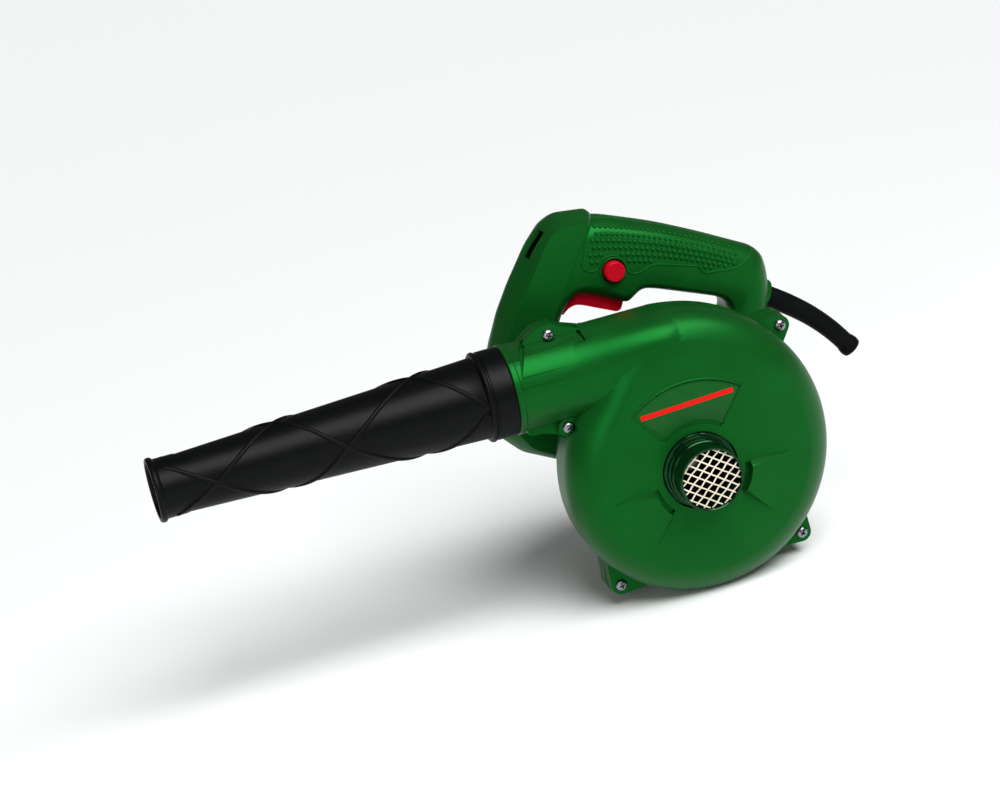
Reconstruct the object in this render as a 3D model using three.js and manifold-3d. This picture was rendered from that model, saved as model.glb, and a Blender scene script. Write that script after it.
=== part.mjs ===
// Hand-held electric blower, in millimetres, +Z up. The nozzle points to -X. The fan and motor share one
// axis along Y, with the intake at -Y and the motor at +Y. Pieces are placed about that axis, and the last
// lines stand the blower on its base over the origin.
import * as THREE from "three";
import { mergeVertices } from "three/addons/utils/BufferGeometryUtils.js";
import Module from "manifold-3d";

const wasm = await Module();
wasm.setup();

// ---- driving dimensions ----
const WALL = 2.5; // moulded shell
const GAP = 0.3; // clearance between pieces that touch
const FACE_Y = -37; // flat front face of the fan case
const SHOULDER_Y = -15; // where the rounded shoulder meets the side wall
const BACK_Y = 33; // back face of the fan case
const SHOULDER_WIDTH = 19;
const SMALL_SCROLL_R = 83; // scroll radius under the outlet
const LARGE_SCROLL_R = 102; // scroll radius at the top
const OUTLET_Z = 73.2; // nozzle axis above the fan axis
const DUCT_R = 28.2;
const DUCT_END_X = -103;
const SPIGOT_R = 24.6;
const SPIGOT_END_X = -131;
const INTAKE_HOLE_R = 25.1;
const COLLAR_R = 20.7;
const COLLAR_BORE_R = 19;
const COLLAR_FRONT_Y = -59.3;
const MESH_PITCH = 4.95;
const MESH_WIRE = 1;
const MESH_ANGLES = [-36.4, 41.2];
const NOZZLE_TIP_X = -331.3;
const SHAFT_R = 4;
const FAN_R = 62;
const FAN_BLADES = 8;
const BARREL_R = 46;
const BARREL_END_Y = 118;
const HANDLE_NEAR_Y = 37;
const HANDLE_FAR_Y = 73;
const SPLIT_Y = 55; // the two handle halves meet here
const BUTTON_AT = [-10.6, 118];
const BUTTON_R = 6.9;
const TRIGGER_PIN_AT = [-38, 110.5];
const FOOT_HALF = 36;
const FOOT_Y = [62, 112];
// x, z and the depth of the seat under each head
const CASE_SCREWS = [
  [-72, 103.6, -9.7],
  [-71.8, 44, -15.7],
  [76.2, 68.4, -9.7],
  [65.4, -70.6, -9.7],
  [-58.6, -69.9, -9.7],
];
const HANDLE_SCREWS = [
  [-86, 45],
  [-66, 112],
  [-26, 146],
  [72, 99],
  [75, 61],
];

// ---- solids and meshes ----
const blower = new THREE.Group();

// A closed geometry as a solid with its faces pointing out.
function solid(geometry) {
  const bare = new THREE.BufferGeometry().setAttribute("position", geometry.getAttribute("position"));
  if (geometry.index) bare.setIndex(geometry.index);
  const merged = mergeVertices(bare, 1e-3);
  const corners = merged.index.array;
  const kept = [];
  for (let i = 0; i < corners.length; i += 3) {
    const [a, b, c] = [corners[i], corners[i + 1], corners[i + 2]];
    if (a !== b && b !== c && a !== c) kept.push(a, b, c);
  }
  const build = (order) =>
    new wasm.Manifold(
      new wasm.Mesh({
        numProp: 3,
        vertProperties: merged.attributes.position.array,
        triVerts: new Uint32Array(order),
      }),
    );
  const made = build(kept);
  if (made.volume() > 0) return made;
  return build(kept.reverse());
}

const join = (first, ...others) => others.reduce((sum, next) => sum.add(next), first);
const cut = (first, ...tools) => tools.reduce((left, tool) => left.subtract(tool), first);

function piece(name, made, colour, roughness, metalness = 0) {
  const { vertProperties, triVerts, numProp, numVert } = made.getMesh();
  const positions = new Float32Array(numVert * 3);
  for (let i = 0; i < numVert; i++) {
    positions.set(vertProperties.subarray(i * numProp, i * numProp + 3), i * 3);
  }
  const geometry = new THREE.BufferGeometry();
  geometry.setAttribute("position", new THREE.BufferAttribute(positions, 3));
  geometry.setIndex(new THREE.BufferAttribute(triVerts, 1));
  geometry.computeVertexNormals();
  const mesh = new THREE.Mesh(
    geometry,
    new THREE.MeshStandardMaterial({ color: colour, roughness, metalness }),
  );
  mesh.name = name;
  blower.add(mesh);
}

const green = (name, made) => piece(name, made, 0x14642a, 0.35);
const black = (name, made) => piece(name, made, 0x16181a, 0.5);
const red = (name, made) => piece(name, made, 0xc80f24, 0.4);
const steel = (name, made) => piece(name, made, 0xb4b6b8, 0.3, 1);
const iron = (name, made) => piece(name, made, 0x6c6e72, 0.5, 1);
const copper = (name, made) => piece(name, made, 0xa8592c, 0.4, 0.8);

// ---- shapes ----

// A profile of [radius, y] points turned about the Y axis.
function turned(profile, segments = 32) {
  const points = profile.map(([r, y]) => new THREE.Vector2(r, y));
  if (profile[0][0] > 0) points.push(points[0].clone());
  return solid(new THREE.LatheGeometry(points, segments));
}

// A tube about the Y axis.
const tube = (inner, outer, y0, y1, segments = 32) =>
  turned([[inner, y0], [outer, y0], [outer, y1], [inner, y1]], segments);

// A round bar about a line along Y.
function bar(x, z, radius, y0, y1, segments = 16) {
  const geometry = new THREE.CylinderGeometry(radius, radius, y1 - y0, segments);
  return solid(geometry.translate(x, (y0 + y1) / 2, z));
}

// A profile of [radius, distance] points turned about the nozzle axis, distances running towards -X.
function alongNozzle(profile, segments = 28) {
  const points = profile.map(([r, d]) => new THREE.Vector2(r, d));
  if (profile[0][0] > 0) points.push(points[0].clone());
  const geometry = new THREE.LatheGeometry(points, segments);
  return solid(geometry.rotateZ(Math.PI / 2).translate(0, 0, OUTLET_Z));
}

function block(x0, x1, y0, y1, z0, z1) {
  const geometry = new THREE.BoxGeometry(x1 - x0, y1 - y0, z1 - z0);
  return solid(geometry.translate((x0 + x1) / 2, (y0 + y1) / 2, (z0 + z1) / 2));
}

// A flat shape drawn in X and Z and given its depth along Y, with an optional rounded edge.
function slab(shape, y0, y1, edge = { thickness: 0, size: 0, offset: 0 }) {
  const geometry = new THREE.ExtrudeGeometry(shape, {
    depth: y1 - y0 - 2 * edge.thickness,
    bevelEnabled: edge.thickness > 0,
    bevelThickness: edge.thickness,
    bevelSize: edge.size,
    bevelOffset: edge.offset,
    bevelSegments: 2,
    curveSegments: 5,
    steps: 1,
  });
  return solid(geometry.rotateX(Math.PI / 2).translate(0, y1 - edge.thickness, 0));
}

const polygon = (points) => new THREE.Shape(points.map(([x, z]) => new THREE.Vector2(x, z)));

// Rings of equal point counts joined into a skin, with a centre point closing each end.
function skin(rings) {
  const count = rings[0].length;
  const positions = rings.flat(2);
  const centre = (ring) => [0, 1, 2].map((k) => ring.reduce((sum, p) => sum + p[k], 0) / count);
  positions.push(...centre(rings[0]), ...centre(rings.at(-1)));
  const [start, end] = [rings.length * count, rings.length * count + 1];
  const index = [];
  for (let i = 0; i < count; i++) {
    const next = (i + 1) % count;
    index.push(start, next, i);
    for (let k = 0; k < rings.length - 1; k++) {
      const [a, b] = [k * count + i, k * count + next];
      index.push(a, b, a + count, b, b + count, a + count);
    }
    index.push(end, (rings.length - 1) * count + i, (rings.length - 1) * count + next);
  }
  const geometry = new THREE.BufferGeometry();
  geometry.setAttribute("position", new THREE.Float32BufferAttribute(positions, 3));
  geometry.setIndex(index);
  return solid(geometry);
}

// A close-wound or open spring of round wire about a line.
class Helix extends THREE.Curve {
  constructor(radius, length, turns) {
    super();
    Object.assign(this, { radius, length, turns });
  }

  getPoint(t, target = new THREE.Vector3()) {
    const angle = t * this.turns * 2 * Math.PI;
    return target.set(this.radius * Math.cos(angle), t * this.length, this.radius * Math.sin(angle));
  }
}

function spring(radius, wire, length, turns) {
  const section = new THREE.Shape().absarc(0, 0, wire, 0, 2 * Math.PI);
  return new THREE.ExtrudeGeometry(section, {
    steps: turns * 8,
    curveSegments: 3,
    bevelEnabled: false,
    extrudePath: new Helix(radius, length, turns),
  });
}

// A pan-head screw along Y: its head stands towards side (-1 or 1) of y, its shank runs the other way.
function screw(x, z, y, side, headR, shankR, length) {
  const profile = [
    [0, 0.66 * headR],
    [0.7 * headR, 0.5 * headR],
    [headR, 0],
    [shankR, 0],
    [shankR, -length],
    [0, -length],
  ].map(([r, d]) => new THREE.Vector2(r, side * d));
  return solid(new THREE.LatheGeometry(profile, 10).translate(x, y, z));
}

// ---- fan case: a scroll with a round outlet duct ----

const SCROLL_STEPS = 40;
const degrees = (value) => (value * Math.PI) / 180;

// The rear half tapers from the parting plane to its back face: [inwards, share of its depth].
const REAR_TAPER = [
  [0, 0.04],
  [3.4, 0.37],
  [6.6, 0.62],
  [11, 0.84],
  [18, 1],
];

// Outer radius of the scroll: it grows from 170 degrees round the bottom to the top, then falls back
// inside the outlet duct.
function scrollRadius(angle) {
  const turn = (((angle - 140) % 360) + 360) % 360;
  const growth = LARGE_SCROLL_R - SMALL_SCROLL_R;
  if (turn <= 310) return SMALL_SCROLL_R + growth * Math.max(0, (turn - 30) / 280) ** 2;
  const fall = (turn - 310) / 50;
  return LARGE_SCROLL_R - growth * fall * fall * (3 - 2 * fall);
}

function scroll(inset) {
  const profile = [];
  for (let k = 0; k <= 4; k++) {
    const bend = (k / 4) * (Math.PI / 2);
    profile.push([
      SHOULDER_WIDTH * (1 - Math.sin(bend)) + inset,
      SHOULDER_Y + (FACE_Y + inset - SHOULDER_Y) * Math.cos(bend),
    ]);
  }
  REAR_TAPER.forEach(([inwards, share]) => profile.push([inwards + inset, share * (BACK_Y - inset)]));
  const rings = profile.map(([inwards, y]) =>
    Array.from({ length: SCROLL_STEPS }, (_, i) => {
      const angle = (i / SCROLL_STEPS) * 360;
      const r = scrollRadius(angle) - inwards;
      return [r * Math.cos(degrees(angle)), y, r * Math.sin(degrees(angle))];
    }),
  );
  return skin(rings);
}

// The duct starts as wide and flat as the scroll and becomes round before its end.
function duct(inset, endX) {
  const stations = [4, -20, -40, -60, -80, endX];
  const rings = stations.map((x) => {
    const blend = Math.min(1, Math.max(0, -x / 76));
    const s = blend * blend * (3 - 2 * blend);
    const front = -FACE_Y + (DUCT_R + FACE_Y) * s - inset;
    const back = BACK_Y + (DUCT_R - BACK_Y) * s - inset;
    return Array.from({ length: 28 }, (_, i) => {
      const angle = (i / 28) * 2 * Math.PI;
      const [c, d] = [Math.cos(angle), Math.sin(angle)];
      const power = c < 0 ? 4 - 2 * s : 2;
      const bulge = (Math.abs(c) ** power + Math.abs(d) ** power) ** (-1 / power);
      const depth = c < 0 ? front : back;
      return [x, depth * c * bulge, OUTLET_Z + (DUCT_R - inset) * d * bulge];
    });
  });
  return skin(rings);
}

// A screw lug: a round end about the screw, spreading towards the case.
function lug([x, z], y0, y1) {
  const radius = 6.6;
  const target = z > 90 ? [x, 80] : x < -60 ? [-50, 50] : [0, 0];
  const inwards = Math.atan2(target[1] - z, target[0] - x);
  const shape = new THREE.Shape();
  const foot = (side) => [
    x + 17 * Math.cos(inwards) + side * 12 * Math.cos(inwards + Math.PI / 2),
    z + 17 * Math.sin(inwards) + side * 12 * Math.sin(inwards + Math.PI / 2),
  ];
  shape.moveTo(...foot(-1));
  shape.lineTo(...foot(1));
  shape.absarc(x, z, radius, inwards + Math.PI / 2, inwards + 1.5 * Math.PI);
  return slab(shape, y0, y1);
}

const caseOutside = join(scroll(0), duct(0, DUCT_END_X));
const caseInside = join(scroll(WALL), duct(WALL, DUCT_END_X + WALL));
const spigot = alongNozzle([[0, -DUCT_END_X - 2], [SPIGOT_R, -DUCT_END_X - 2], [SPIGOT_R, -SPIGOT_END_X], [0, -SPIGOT_END_X]]);
const spigotBore = alongNozzle([
  [0, -DUCT_END_X - 2 * WALL],
  [SPIGOT_R - WALL, -DUCT_END_X - 2 * WALL],
  [SPIGOT_R - WALL, -SPIGOT_END_X + 1],
  [0, -SPIGOT_END_X + 1],
]);
const frontHalf = block(-200, 200, -100, -GAP / 2, -200, 200);
const backHalf = block(-200, 200, GAP / 2, 100, -200, 200);

// The label recess and plate: a sector about the fan axis, symmetric about the vertical.
function sector(inner, outer, halfAngle, y0, y1) {
  const shape = new THREE.Shape();
  const [a, b] = [degrees(90 - halfAngle), degrees(90 + halfAngle)];
  shape.absarc(0, 0, outer, a, b);
  shape.absarc(0, 0, inner, b, a, true);
  return slab(shape, y0, y1);
}

function fanCover() {
  const lugs = CASE_SCREWS.map((at) => lug(at, at[2], -GAP / 2));
  const holes = CASE_SCREWS.map(([x, z]) => bar(x, z, 2.1, -20, 5, 10));
  const seats = CASE_SCREWS.map(([x, z, seat]) => bar(x, z, 4.4, -40, seat, 12));
  const shell = join(caseOutside.intersect(frontHalf), spigot.intersect(frontHalf), ...lugs);
  return cut(
    shell,
    caseInside,
    spigotBore,
    bar(0, 0, INTAKE_HOLE_R, -60, -20, 40),
    sector(31.9, 58.2, 38, FACE_Y - 1, FACE_Y + 0.8),
    ...holes,
    ...seats,
  );
}

function rearCase() {
  const lugs = CASE_SCREWS.map((at) => lug(at, GAP / 2, 12));
  const holes = CASE_SCREWS.map(([x, z]) => bar(x, z, 2.1, -5, 20, 10));
  const shell = join(caseOutside.intersect(backHalf), spigot.intersect(backHalf), ...lugs);
  const mounts = MOTOR_MOUNTS.map(([x, z]) => bar(x, z, 1.8, 20, 40, 12));
  return cut(shell, caseInside, spigotBore, bar(0, 0, 18, 20, 40, 32), ...holes, ...mounts);
}

// ---- intake ----

function intakeCollar() {
  return turned(
    [
      [COLLAR_BORE_R, -31.5],
      [31, -31.5],
      [31, FACE_Y + WALL + GAP],
      [23, FACE_Y + WALL + GAP],
      [COLLAR_R, -36],
      [COLLAR_R, COLLAR_FRONT_Y],
      [COLLAR_BORE_R, COLLAR_FRONT_Y],
    ],
    40,
  );
}

// Two crossed rows of wires inside a thin hoop.
function intakeMesh() {
  const [y0, y1] = [-57.6, -56.6];
  const radius = COLLAR_BORE_R - GAP;
  const rows = MESH_ANGLES.flatMap((angle) =>
    [-3, -2, -1, 0, 1, 2, 3].map((i) => {
      const wire = new THREE.BoxGeometry(2 * radius, y1 - y0, MESH_WIRE);
      wire.translate(0, (y0 + y1) / 2, i * MESH_PITCH);
      return solid(wire.rotateY(degrees(-angle)));
    }),
  );
  const disc = bar(0, 0, radius, y0, y1, 24);
  return join(tube(radius - 1, radius, y0, y1, 24), join(...rows).intersect(disc));
}

// ---- nozzle ----

function nozzle() {
  const start = -DUCT_END_X + GAP;
  const end = -NOZZLE_TIP_X;
  return alongNozzle([
    [28.4, start],
    [28.4, 117.5],
    [29, 119],
    [27.4, 121],
    [25.9, 123],
    [18.4, 312],
    [18.8, 316],
    [18.8, end - 4.3],
    [20.4, end - 3],
    [20.4, end - 0.8],
    [19.4, end],
    [16.2, end],
    [22, 134],
    [SPIGOT_R + GAP, 132],
    [SPIGOT_R + GAP, start],
  ]);
}

// ---- fan wheel and shaft ----

const blade = (() => {
  const middle = Array.from({ length: 7 }, (_, i) => {
    const r = 19 + ((FAN_R - 20) * i) / 6;
    const angle = degrees(4.5 * i);
    return new THREE.Vector2(r * Math.cos(angle), r * Math.sin(angle));
  });
  const side = (offset) => middle.map((p) => p.clone().multiplyScalar(1).add(new THREE.Vector2(-offset * 0.3, offset)));
  return new THREE.Shape([...side(-1), ...side(1).reverse()]);
})();

function fanWheel() {
  const blades = Array.from({ length: FAN_BLADES }, (_, i) =>
    slab(blade, -22, 19).rotate([0, (i * 360) / FAN_BLADES, 0]),
  );
  const hub = bar(0, 0, 20, 8, 19, 24);
  const boss = bar(0, 0, 9, -6, 19, 24);
  const plate = bar(0, 0, FAN_R, 18, 20.5, 48);
  return cut(join(plate, hub, boss, ...blades), bar(0, 0, SHAFT_R + GAP, -30, 30, 16));
}

// ---- motor ----

const MOTOR_MOUNTS = [30, 150, 270].map((a) => [40 * Math.cos(degrees(a)), 40 * Math.sin(degrees(a))]);

function armatureCore() {
  const slots = Array.from({ length: 12 }, (_, i) =>
    block(-1.2, 1.2, 50, 95, 13, 25).rotate([0, (i * 360) / 12, 0]),
  );
  return cut(tube(SHAFT_R + GAP, 21, 58.3, 86.3, 36), ...slots);
}

function statorCore() {
  const ring = tube(31.5, 36, 57, 87, 36);
  const poles = block(-33, 33, 57, 87, -12, 12);
  return cut(join(ring, poles), bar(0, 0, 21.8, 50, 90, 36));
}

function fieldCoil(side) {
  const coil = cut(block(21.5, 27, 52.4, 92, -15.5, 15.5), block(20, 29, 56.6, 87.4, -12.4, 12.4));
  return side > 0 ? coil : coil.rotate([0, 180, 0]);
}

function brushHolder() {
  return cut(block(14, 33, 93, 102, -6, 6), block(10, 40, 94.3, 100.7, -4.3, 4.3));
}

const mirrored = (made, side) => (side > 0 ? made : made.rotate([0, 180, 0]));

// ---- handle and motor housing, in two halves ----

// Side outline of the housing: heel, front post, grip, rear leg with the cord boss.
function handleOutline() {
  const shape = new THREE.Shape();
  shape.moveTo(-34, -26);
  shape.lineTo(-66, -1);
  shape.quadraticCurveTo(-100, 14, -104, 38);
  shape.lineTo(-104.5, 62);
  shape.quadraticCurveTo(-98, 92, -76, 124);
  shape.lineTo(-60, 145);
  shape.quadraticCurveTo(-47, 161, -30, 160);
  shape.lineTo(-16, 157.8);
  shape.lineTo(-12.5, 153);
  shape.quadraticCurveTo(30, 137.5, 86, 105);
  shape.quadraticCurveTo(93, 98, 92.3, 83);
  shape.quadraticCurveTo(95.8, 76, 93.5, 65);
  shape.lineTo(88, 57);
  shape.lineTo(56, 12);
  shape.lineTo(30, -30);
  return shape;
}

// The finger gap between grip and motor barrel.
const FINGER_GAP = [
  [-62, 66],
  [-53, 86],
  [-47, 97.5],
  [-40, 105],
  [-32, 107],
  [-4.5, 93],
  [6.5, 99.3],
  [52, 81.5],
  [58.5, 77],
  [60, 70],
  [50, 56],
  [25, 51.5],
  [0, 50.5],
  [-25, 51.5],
  [-50, 56],
];

function handleBody(inset) {
  const [near, far] = [HANDLE_NEAR_Y, HANDLE_FAR_Y];
  const edge = { thickness: 13 - inset / 2, size: 8 - inset / 2, offset: -8 - inset / 2 };
  const body = slab(handleOutline(), near + inset, far - inset, edge);
  const gap = polygon(FINGER_GAP);
  const flare = { thickness: 7 + inset, size: 5 + inset, offset: 0 };
  const straight = { thickness: 1, size: inset, offset: 0 };
  return cut(
    body,
    slab(gap, near - 5, far + 5, straight),
    slab(gap, near - 7 - inset, near + 7 + inset, flare),
    slab(gap, far - 7 - inset, far + 7 + inset, flare),
  );
}

function housing() {
  const footDepth = (inset) =>
    slab(
      polygon([
        [-FOOT_HALF + 6 + inset, -20],
        [-FOOT_HALF + inset, -STAND + inset],
        [FOOT_HALF - inset, -STAND + inset],
        [FOOT_HALF - 6 - inset, -20],
      ]),
      FOOT_Y[0] + inset,
      FOOT_Y[1] - inset,
    );
  const barrel = (inset) => bar(0, 0, BARREL_R - inset, BACK_Y + 0.5 + inset, BARREL_END_Y - inset, 48);
  const outside = join(handleBody(0), barrel(0), footDepth(0));
  const inside = join(handleBody(WALL), barrel(WALL), footDepth(WALL));
  const frontSeat = tube(11.3, 14, BACK_Y + 1, 43.3);
  const rearSeat = tube(9.8, 13, 104.7, BARREL_END_Y - 1);
  const ribs = cut(
    join(
      block(-BARREL_R + 1, BARREL_R - 1, 58, 86, -2, 2).rotate([0, 45, 0]),
      block(-BARREL_R + 1, BARREL_R - 1, 58, 86, -2, 2).rotate([0, 135, 0]),
    ),
    bar(0, 0, 36.3, 50, 90, 36),
  );
  const posts = HANDLE_SCREWS.map(([x, z]) => bar(x, z, 5.4, HANDLE_NEAR_Y + 1, HANDLE_FAR_Y - 1, 10));
  const shell = join(cut(outside, inside), frontSeat, rearSeat, ribs, ...posts);
  const vents = Array.from({ length: 10 }, (_, i) =>
    block(-1.5, 1.5, 110, 120, 19, 37).rotate([0, i * 36, 0]),
  );
  const screwHoles = HANDLE_SCREWS.flatMap(([x, z]) => [bar(x, z, 1.9, 42, 70, 8), bar(x, z, 3.9, 62, 80, 12)]);
  const mounts = MOTOR_MOUNTS.map(([x, z]) => bar(x, z, 1.8, 30, 40, 12));
  return cut(
    shell,
    bar(0, 0, 6, 30, 40, 24),
    bar(BUTTON_AT[0], BUTTON_AT[1], BUTTON_R + 0.4, 30, 44, 24),
    bar(TRIGGER_PIN_AT[0], TRIGGER_PIN_AT[1], 1.8, 40, 70, 12),
    slab(polygon([[-50, 91], [-3, 80], [-3, 106], [-28, 121], [-45, 117]]), 46.4, 63.6),
    cordHole(),
    ...vents,
    ...screwHoles,
    ...mounts,
    ...frontSlot(),
  );
}

// A narrow strap slot in the front facet of the post, beside the seam.
function frontSlot() {
  const slot = new THREE.BoxGeometry(19, 3, 16);
  slot.rotateY(degrees(-52)).translate(-60, 48.6, 144);
  return [solid(slot)];
}

// The way for the cord guard and its flange through the rear boss.
function cordHole() {
  const way = [
    [9.8, 0],
    [9.8, 0.065],
    [GUARD_R + GAP, 0.075],
    [GUARD_R + GAP, 0.3],
  ];
  return skin(way.map(([r, t]) => guardRing(r, t)));
}

// ---- cord guard ----

const GUARD_R = 7.3;
const GUARD_END_X = 147.1;
const GUARD_PATH = new THREE.CatmullRomCurve3(
  [
    [80, 75.5],
    [93.7, 67],
    [105.9, 58.2],
    [118.1, 47.7],
    [129.9, 34.9],
    [142, 18.5],
  ].map(([x, z]) => new THREE.Vector3(x, SPLIT_Y, z)),
);

// A ring of points about the path, at t of its length.
function guardRing(r, t) {
  const at = GUARD_PATH.getPointAt(t);
  const along = GUARD_PATH.getTangentAt(t);
  const up = new THREE.Vector3(-along.z, 0, along.x);
  return Array.from({ length: 16 }, (_, i) => {
    const angle = (i / 16) * 2 * Math.PI;
    const p = at.clone().addScaledVector(up, r * Math.cos(angle));
    return [p.x, p.y + r * Math.sin(angle), p.z];
  });
}

// A tapered sleeve about the path, with a lip at its end and a bore for the cord.
function cordGuard() {
  const profile = [
    [3.8, 0],
    [9.5, 0],
    [9.5, 0.06],
    [7.3, 0.07],
    [7.1, 0.3],
    [6.7, 0.55],
    [6.2, 0.8],
    [6, 0.92],
    [7.2, 0.95],
    [7.2, 0.985],
    [6.2, 1],
    [3.8, 1],
    [3.8, 0.5],
  ];
  const rings = profile.map(([r, t]) => guardRing(r, t));
  return loop(rings);
}

// Rings joined in a closed ring of rings, as a thick-walled tube needs.
function loop(rings) {
  const count = rings[0].length;
  const index = [];
  rings.forEach((_, k) => {
    const after = ((k + 1) % rings.length) * count;
    for (let i = 0; i < count; i++) {
      const next = (i + 1) % count;
      index.push(k * count + i, k * count + next, after + i);
      index.push(k * count + next, after + next, after + i);
    }
  });
  const geometry = new THREE.BufferGeometry();
  geometry.setAttribute("position", new THREE.Float32BufferAttribute(rings.flat(2), 3));
  geometry.setIndex(index);
  return solid(geometry);
}

// ---- trigger ----

function trigger() {
  const shape = new THREE.Shape();
  shape.moveTo(-47, 95.2);
  shape.quadraticCurveTo(-40, 102, -32.6, 98.6);
  shape.lineTo(-10, 88);
  shape.lineTo(-7, 89);
  shape.lineTo(-5.5, 96);
  shape.lineTo(-12, 104);
  shape.lineTo(-34, 114.5);
  shape.lineTo(-41, 113.8);
  shape.lineTo(-43, 106);
  const hole = bar(TRIGGER_PIN_AT[0], TRIGGER_PIN_AT[1], 1.8, 40, 70, 12);
  return cut(slab(shape, 47.2, 62.8), hole);
}

// ---- assembly ----

const STAND = Math.max(
  ...Array.from({ length: SCROLL_STEPS }, (_, i) => {
    const angle = (i / SCROLL_STEPS) * 360;
    return -scrollRadius(angle) * Math.sin(degrees(angle));
  }),
);

green("fan_cover_front", fanCover());
green("fan_case_rear", rearCase());
CASE_SCREWS.forEach(([x, z, seat], i) =>
  steel("case_screw_" + (i + 1), screw(x, z, seat - GAP, -1, 3.9, 1.8, 10 - seat)),
);
green("intake_collar", intakeCollar());
piece("intake_mesh", intakeMesh(), 0xf0e6d2, 0.4, 0.6);
green("label_plate", sector(32.2, 57.9, 37.6, FACE_Y - 0.1, FACE_Y + 0.5));
black("nozzle", nozzle());

piece("fan_wheel", fanWheel(), 0x3a3c40, 0.5);
steel("fan_washer", tube(SHAFT_R + GAP, 8, -8.2, -6.3, 20));
steel("fan_nut", cut(bar(0, 0, 7.5, -13.2, -8.5, 6), bar(0, 0, SHAFT_R + GAP, -14, -8, 16)));
steel("motor_shaft", bar(0, 0, SHAFT_R, -16, 113, 16));
iron("armature_core", armatureCore());
copper("armature_winding_front", tube(SHAFT_R + GAP, 17, 53, 58, 24));
copper("armature_winding_rear", tube(SHAFT_R + GAP, 16, 86.6, 91.6, 24));
copper("commutator", tube(SHAFT_R + GAP, 11, 92.2, 102.5, 24));
black("cooling_fan", coolingFan());
steel("bearing_front", tube(SHAFT_R + 0.2, 11, 36.3, 43.2, 24));
steel("bearing_rear", tube(SHAFT_R + 0.2, 9.5, 105, 112, 24));
iron("stator_core", statorCore());
copper("field_coil_rear", fieldCoil(1));
copper("field_coil_front", fieldCoil(-1));

[1, -1].forEach((side) => {
  const place = side > 0 ? "rear" : "front";
  const coil = solid(spring(2.6, 0.5, 8, 4).rotateZ(-Math.PI / 2).translate(24.6, 97.5, 0));
  piece("brush_holder_" + place, mirrored(brushHolder(), side), 0xb08d3c, 0.4, 0.9);
  piece("carbon_brush_" + place, mirrored(block(11.4, 23.8, 94.6, 100.4, -4, 4), side), 0x2a2a2c, 0.8);
  steel("brush_spring_" + place, mirrored(coil, side));
  black("brush_cap_" + place, mirrored(block(33.4, 36.4, 92.6, 102.4, -6.4, 6.4), side));
});

MOTOR_MOUNTS.forEach(([x, z], i) => steel("housing_screw_" + (i + 1), screw(x, z, 36.3, 1, 3, 1.5, 10)));
const housingSolid = housing();
green("handle_half_near", housingSolid.intersect(block(-200, 200, 0, SPLIT_Y - GAP / 2, -200, 300)));
green("handle_half_far", housingSolid.intersect(block(-200, 200, SPLIT_Y + GAP / 2, 200, -200, 300)));
HANDLE_SCREWS.forEach(([x, z], i) => steel("handle_screw_" + (i + 1), screw(x, z, 62.3, 1, 3.4, 1.6, 18)));

red("trigger", trigger());
steel("trigger_pin", bar(...TRIGGER_PIN_AT, 1.5, 44, 66, 12));
steel("trigger_spring", solid(spring(2.2, 0.45, 4.8, 4).rotateX(Math.PI / 2).translate(-20, SPLIT_Y, 109.8)));
black("switch_body", switchBody());
red("lock_button", lockButton());
steel("lock_spring", solid(spring(3.2, 0.45, 3.6, 3).translate(BUTTON_AT[0], 41.2, BUTTON_AT[1])));
piece("capacitor", tilted(18, 9, 14, 40, 106), 0xd0a020, 0.5);
piece("cord_clamp", clampBar(), 0x202224, 0.6);
[47, 63].forEach((y, i) => steel("clamp_screw_" + (i + 1), clampScrew(y)));
black("cord_guard", cordGuard());

function coolingFan() {
  const vanes = Array.from({ length: 10 }, (_, i) => block(-0.8, 0.8, 44.6, 50, 8, 29.5).rotate([0, i * 36, 0]));
  const plate = bar(0, 0, 30, 49.5, 51.6, 36);
  const hub = bar(0, 0, 9, 44.6, 50, 24);
  return cut(join(plate, hub, ...vanes), bar(0, 0, SHAFT_R + GAP, 40, 60, 16));
}

// A block that lies along the grip.
function tilted(length, width, height, x, z) {
  const geometry = new THREE.BoxGeometry(length, width, height);
  return solid(geometry.rotateY(degrees(27)).translate(x, SPLIT_Y, z));
}

function switchBody() {
  return tilted(34, 11.5, 17, -7, 126.5);
}

function lockButton() {
  const [x, z] = BUTTON_AT;
  return join(
    bar(x, z, BUTTON_R, 34.2, 40.5, 28),
    bar(x, z, BUTTON_R - 0.7, 33.5, 34.5, 28),
    bar(x, z, 2, 40, 44.8, 10),
  );
}

function clampBar() {
  const made = block(-4, 4, 43, 67, -3, 3);
  const holes = [47, 63].map((y) => solid(new THREE.CylinderGeometry(1.8, 1.8, 12, 12).rotateX(Math.PI / 2).translate(0, y, 0)));
  return cut(made, ...holes).translate([75, 0, 88]);
}

function clampScrew(y) {
  const profile = [
    [0, 2],
    [1.8, 1.8],
    [2.8, 0.2],
    [2.8, 0],
    [1.5, 0],
    [1.5, -8],
    [0, -9],
  ].map(([r, d]) => new THREE.Vector2(r, d));
  const geometry = new THREE.LatheGeometry(profile, 12).rotateX(Math.PI / 2);
  return solid(geometry.translate(75, y, 91.3));
}

// Stand on the base over the origin, centred over the whole length and width.
blower.position.set((-NOZZLE_TIP_X - GUARD_END_X) / 2, (-COLLAR_FRONT_Y - BARREL_END_Y) / 2, STAND);

export default blower;
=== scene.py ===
"""Looks of a small corded hand blower: green moulded case and handle, black tapered nozzle.

Shapes are drawn in millimetres about the fan axis: X runs against the air stream, Y from the air intake to
the motor, Z up. Each finished piece is then put in the shared frame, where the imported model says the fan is.
"""

import math

import bmesh
import bpy
from mathutils import Matrix, Vector
from mathutils.bvhtree import BVHTree

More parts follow.
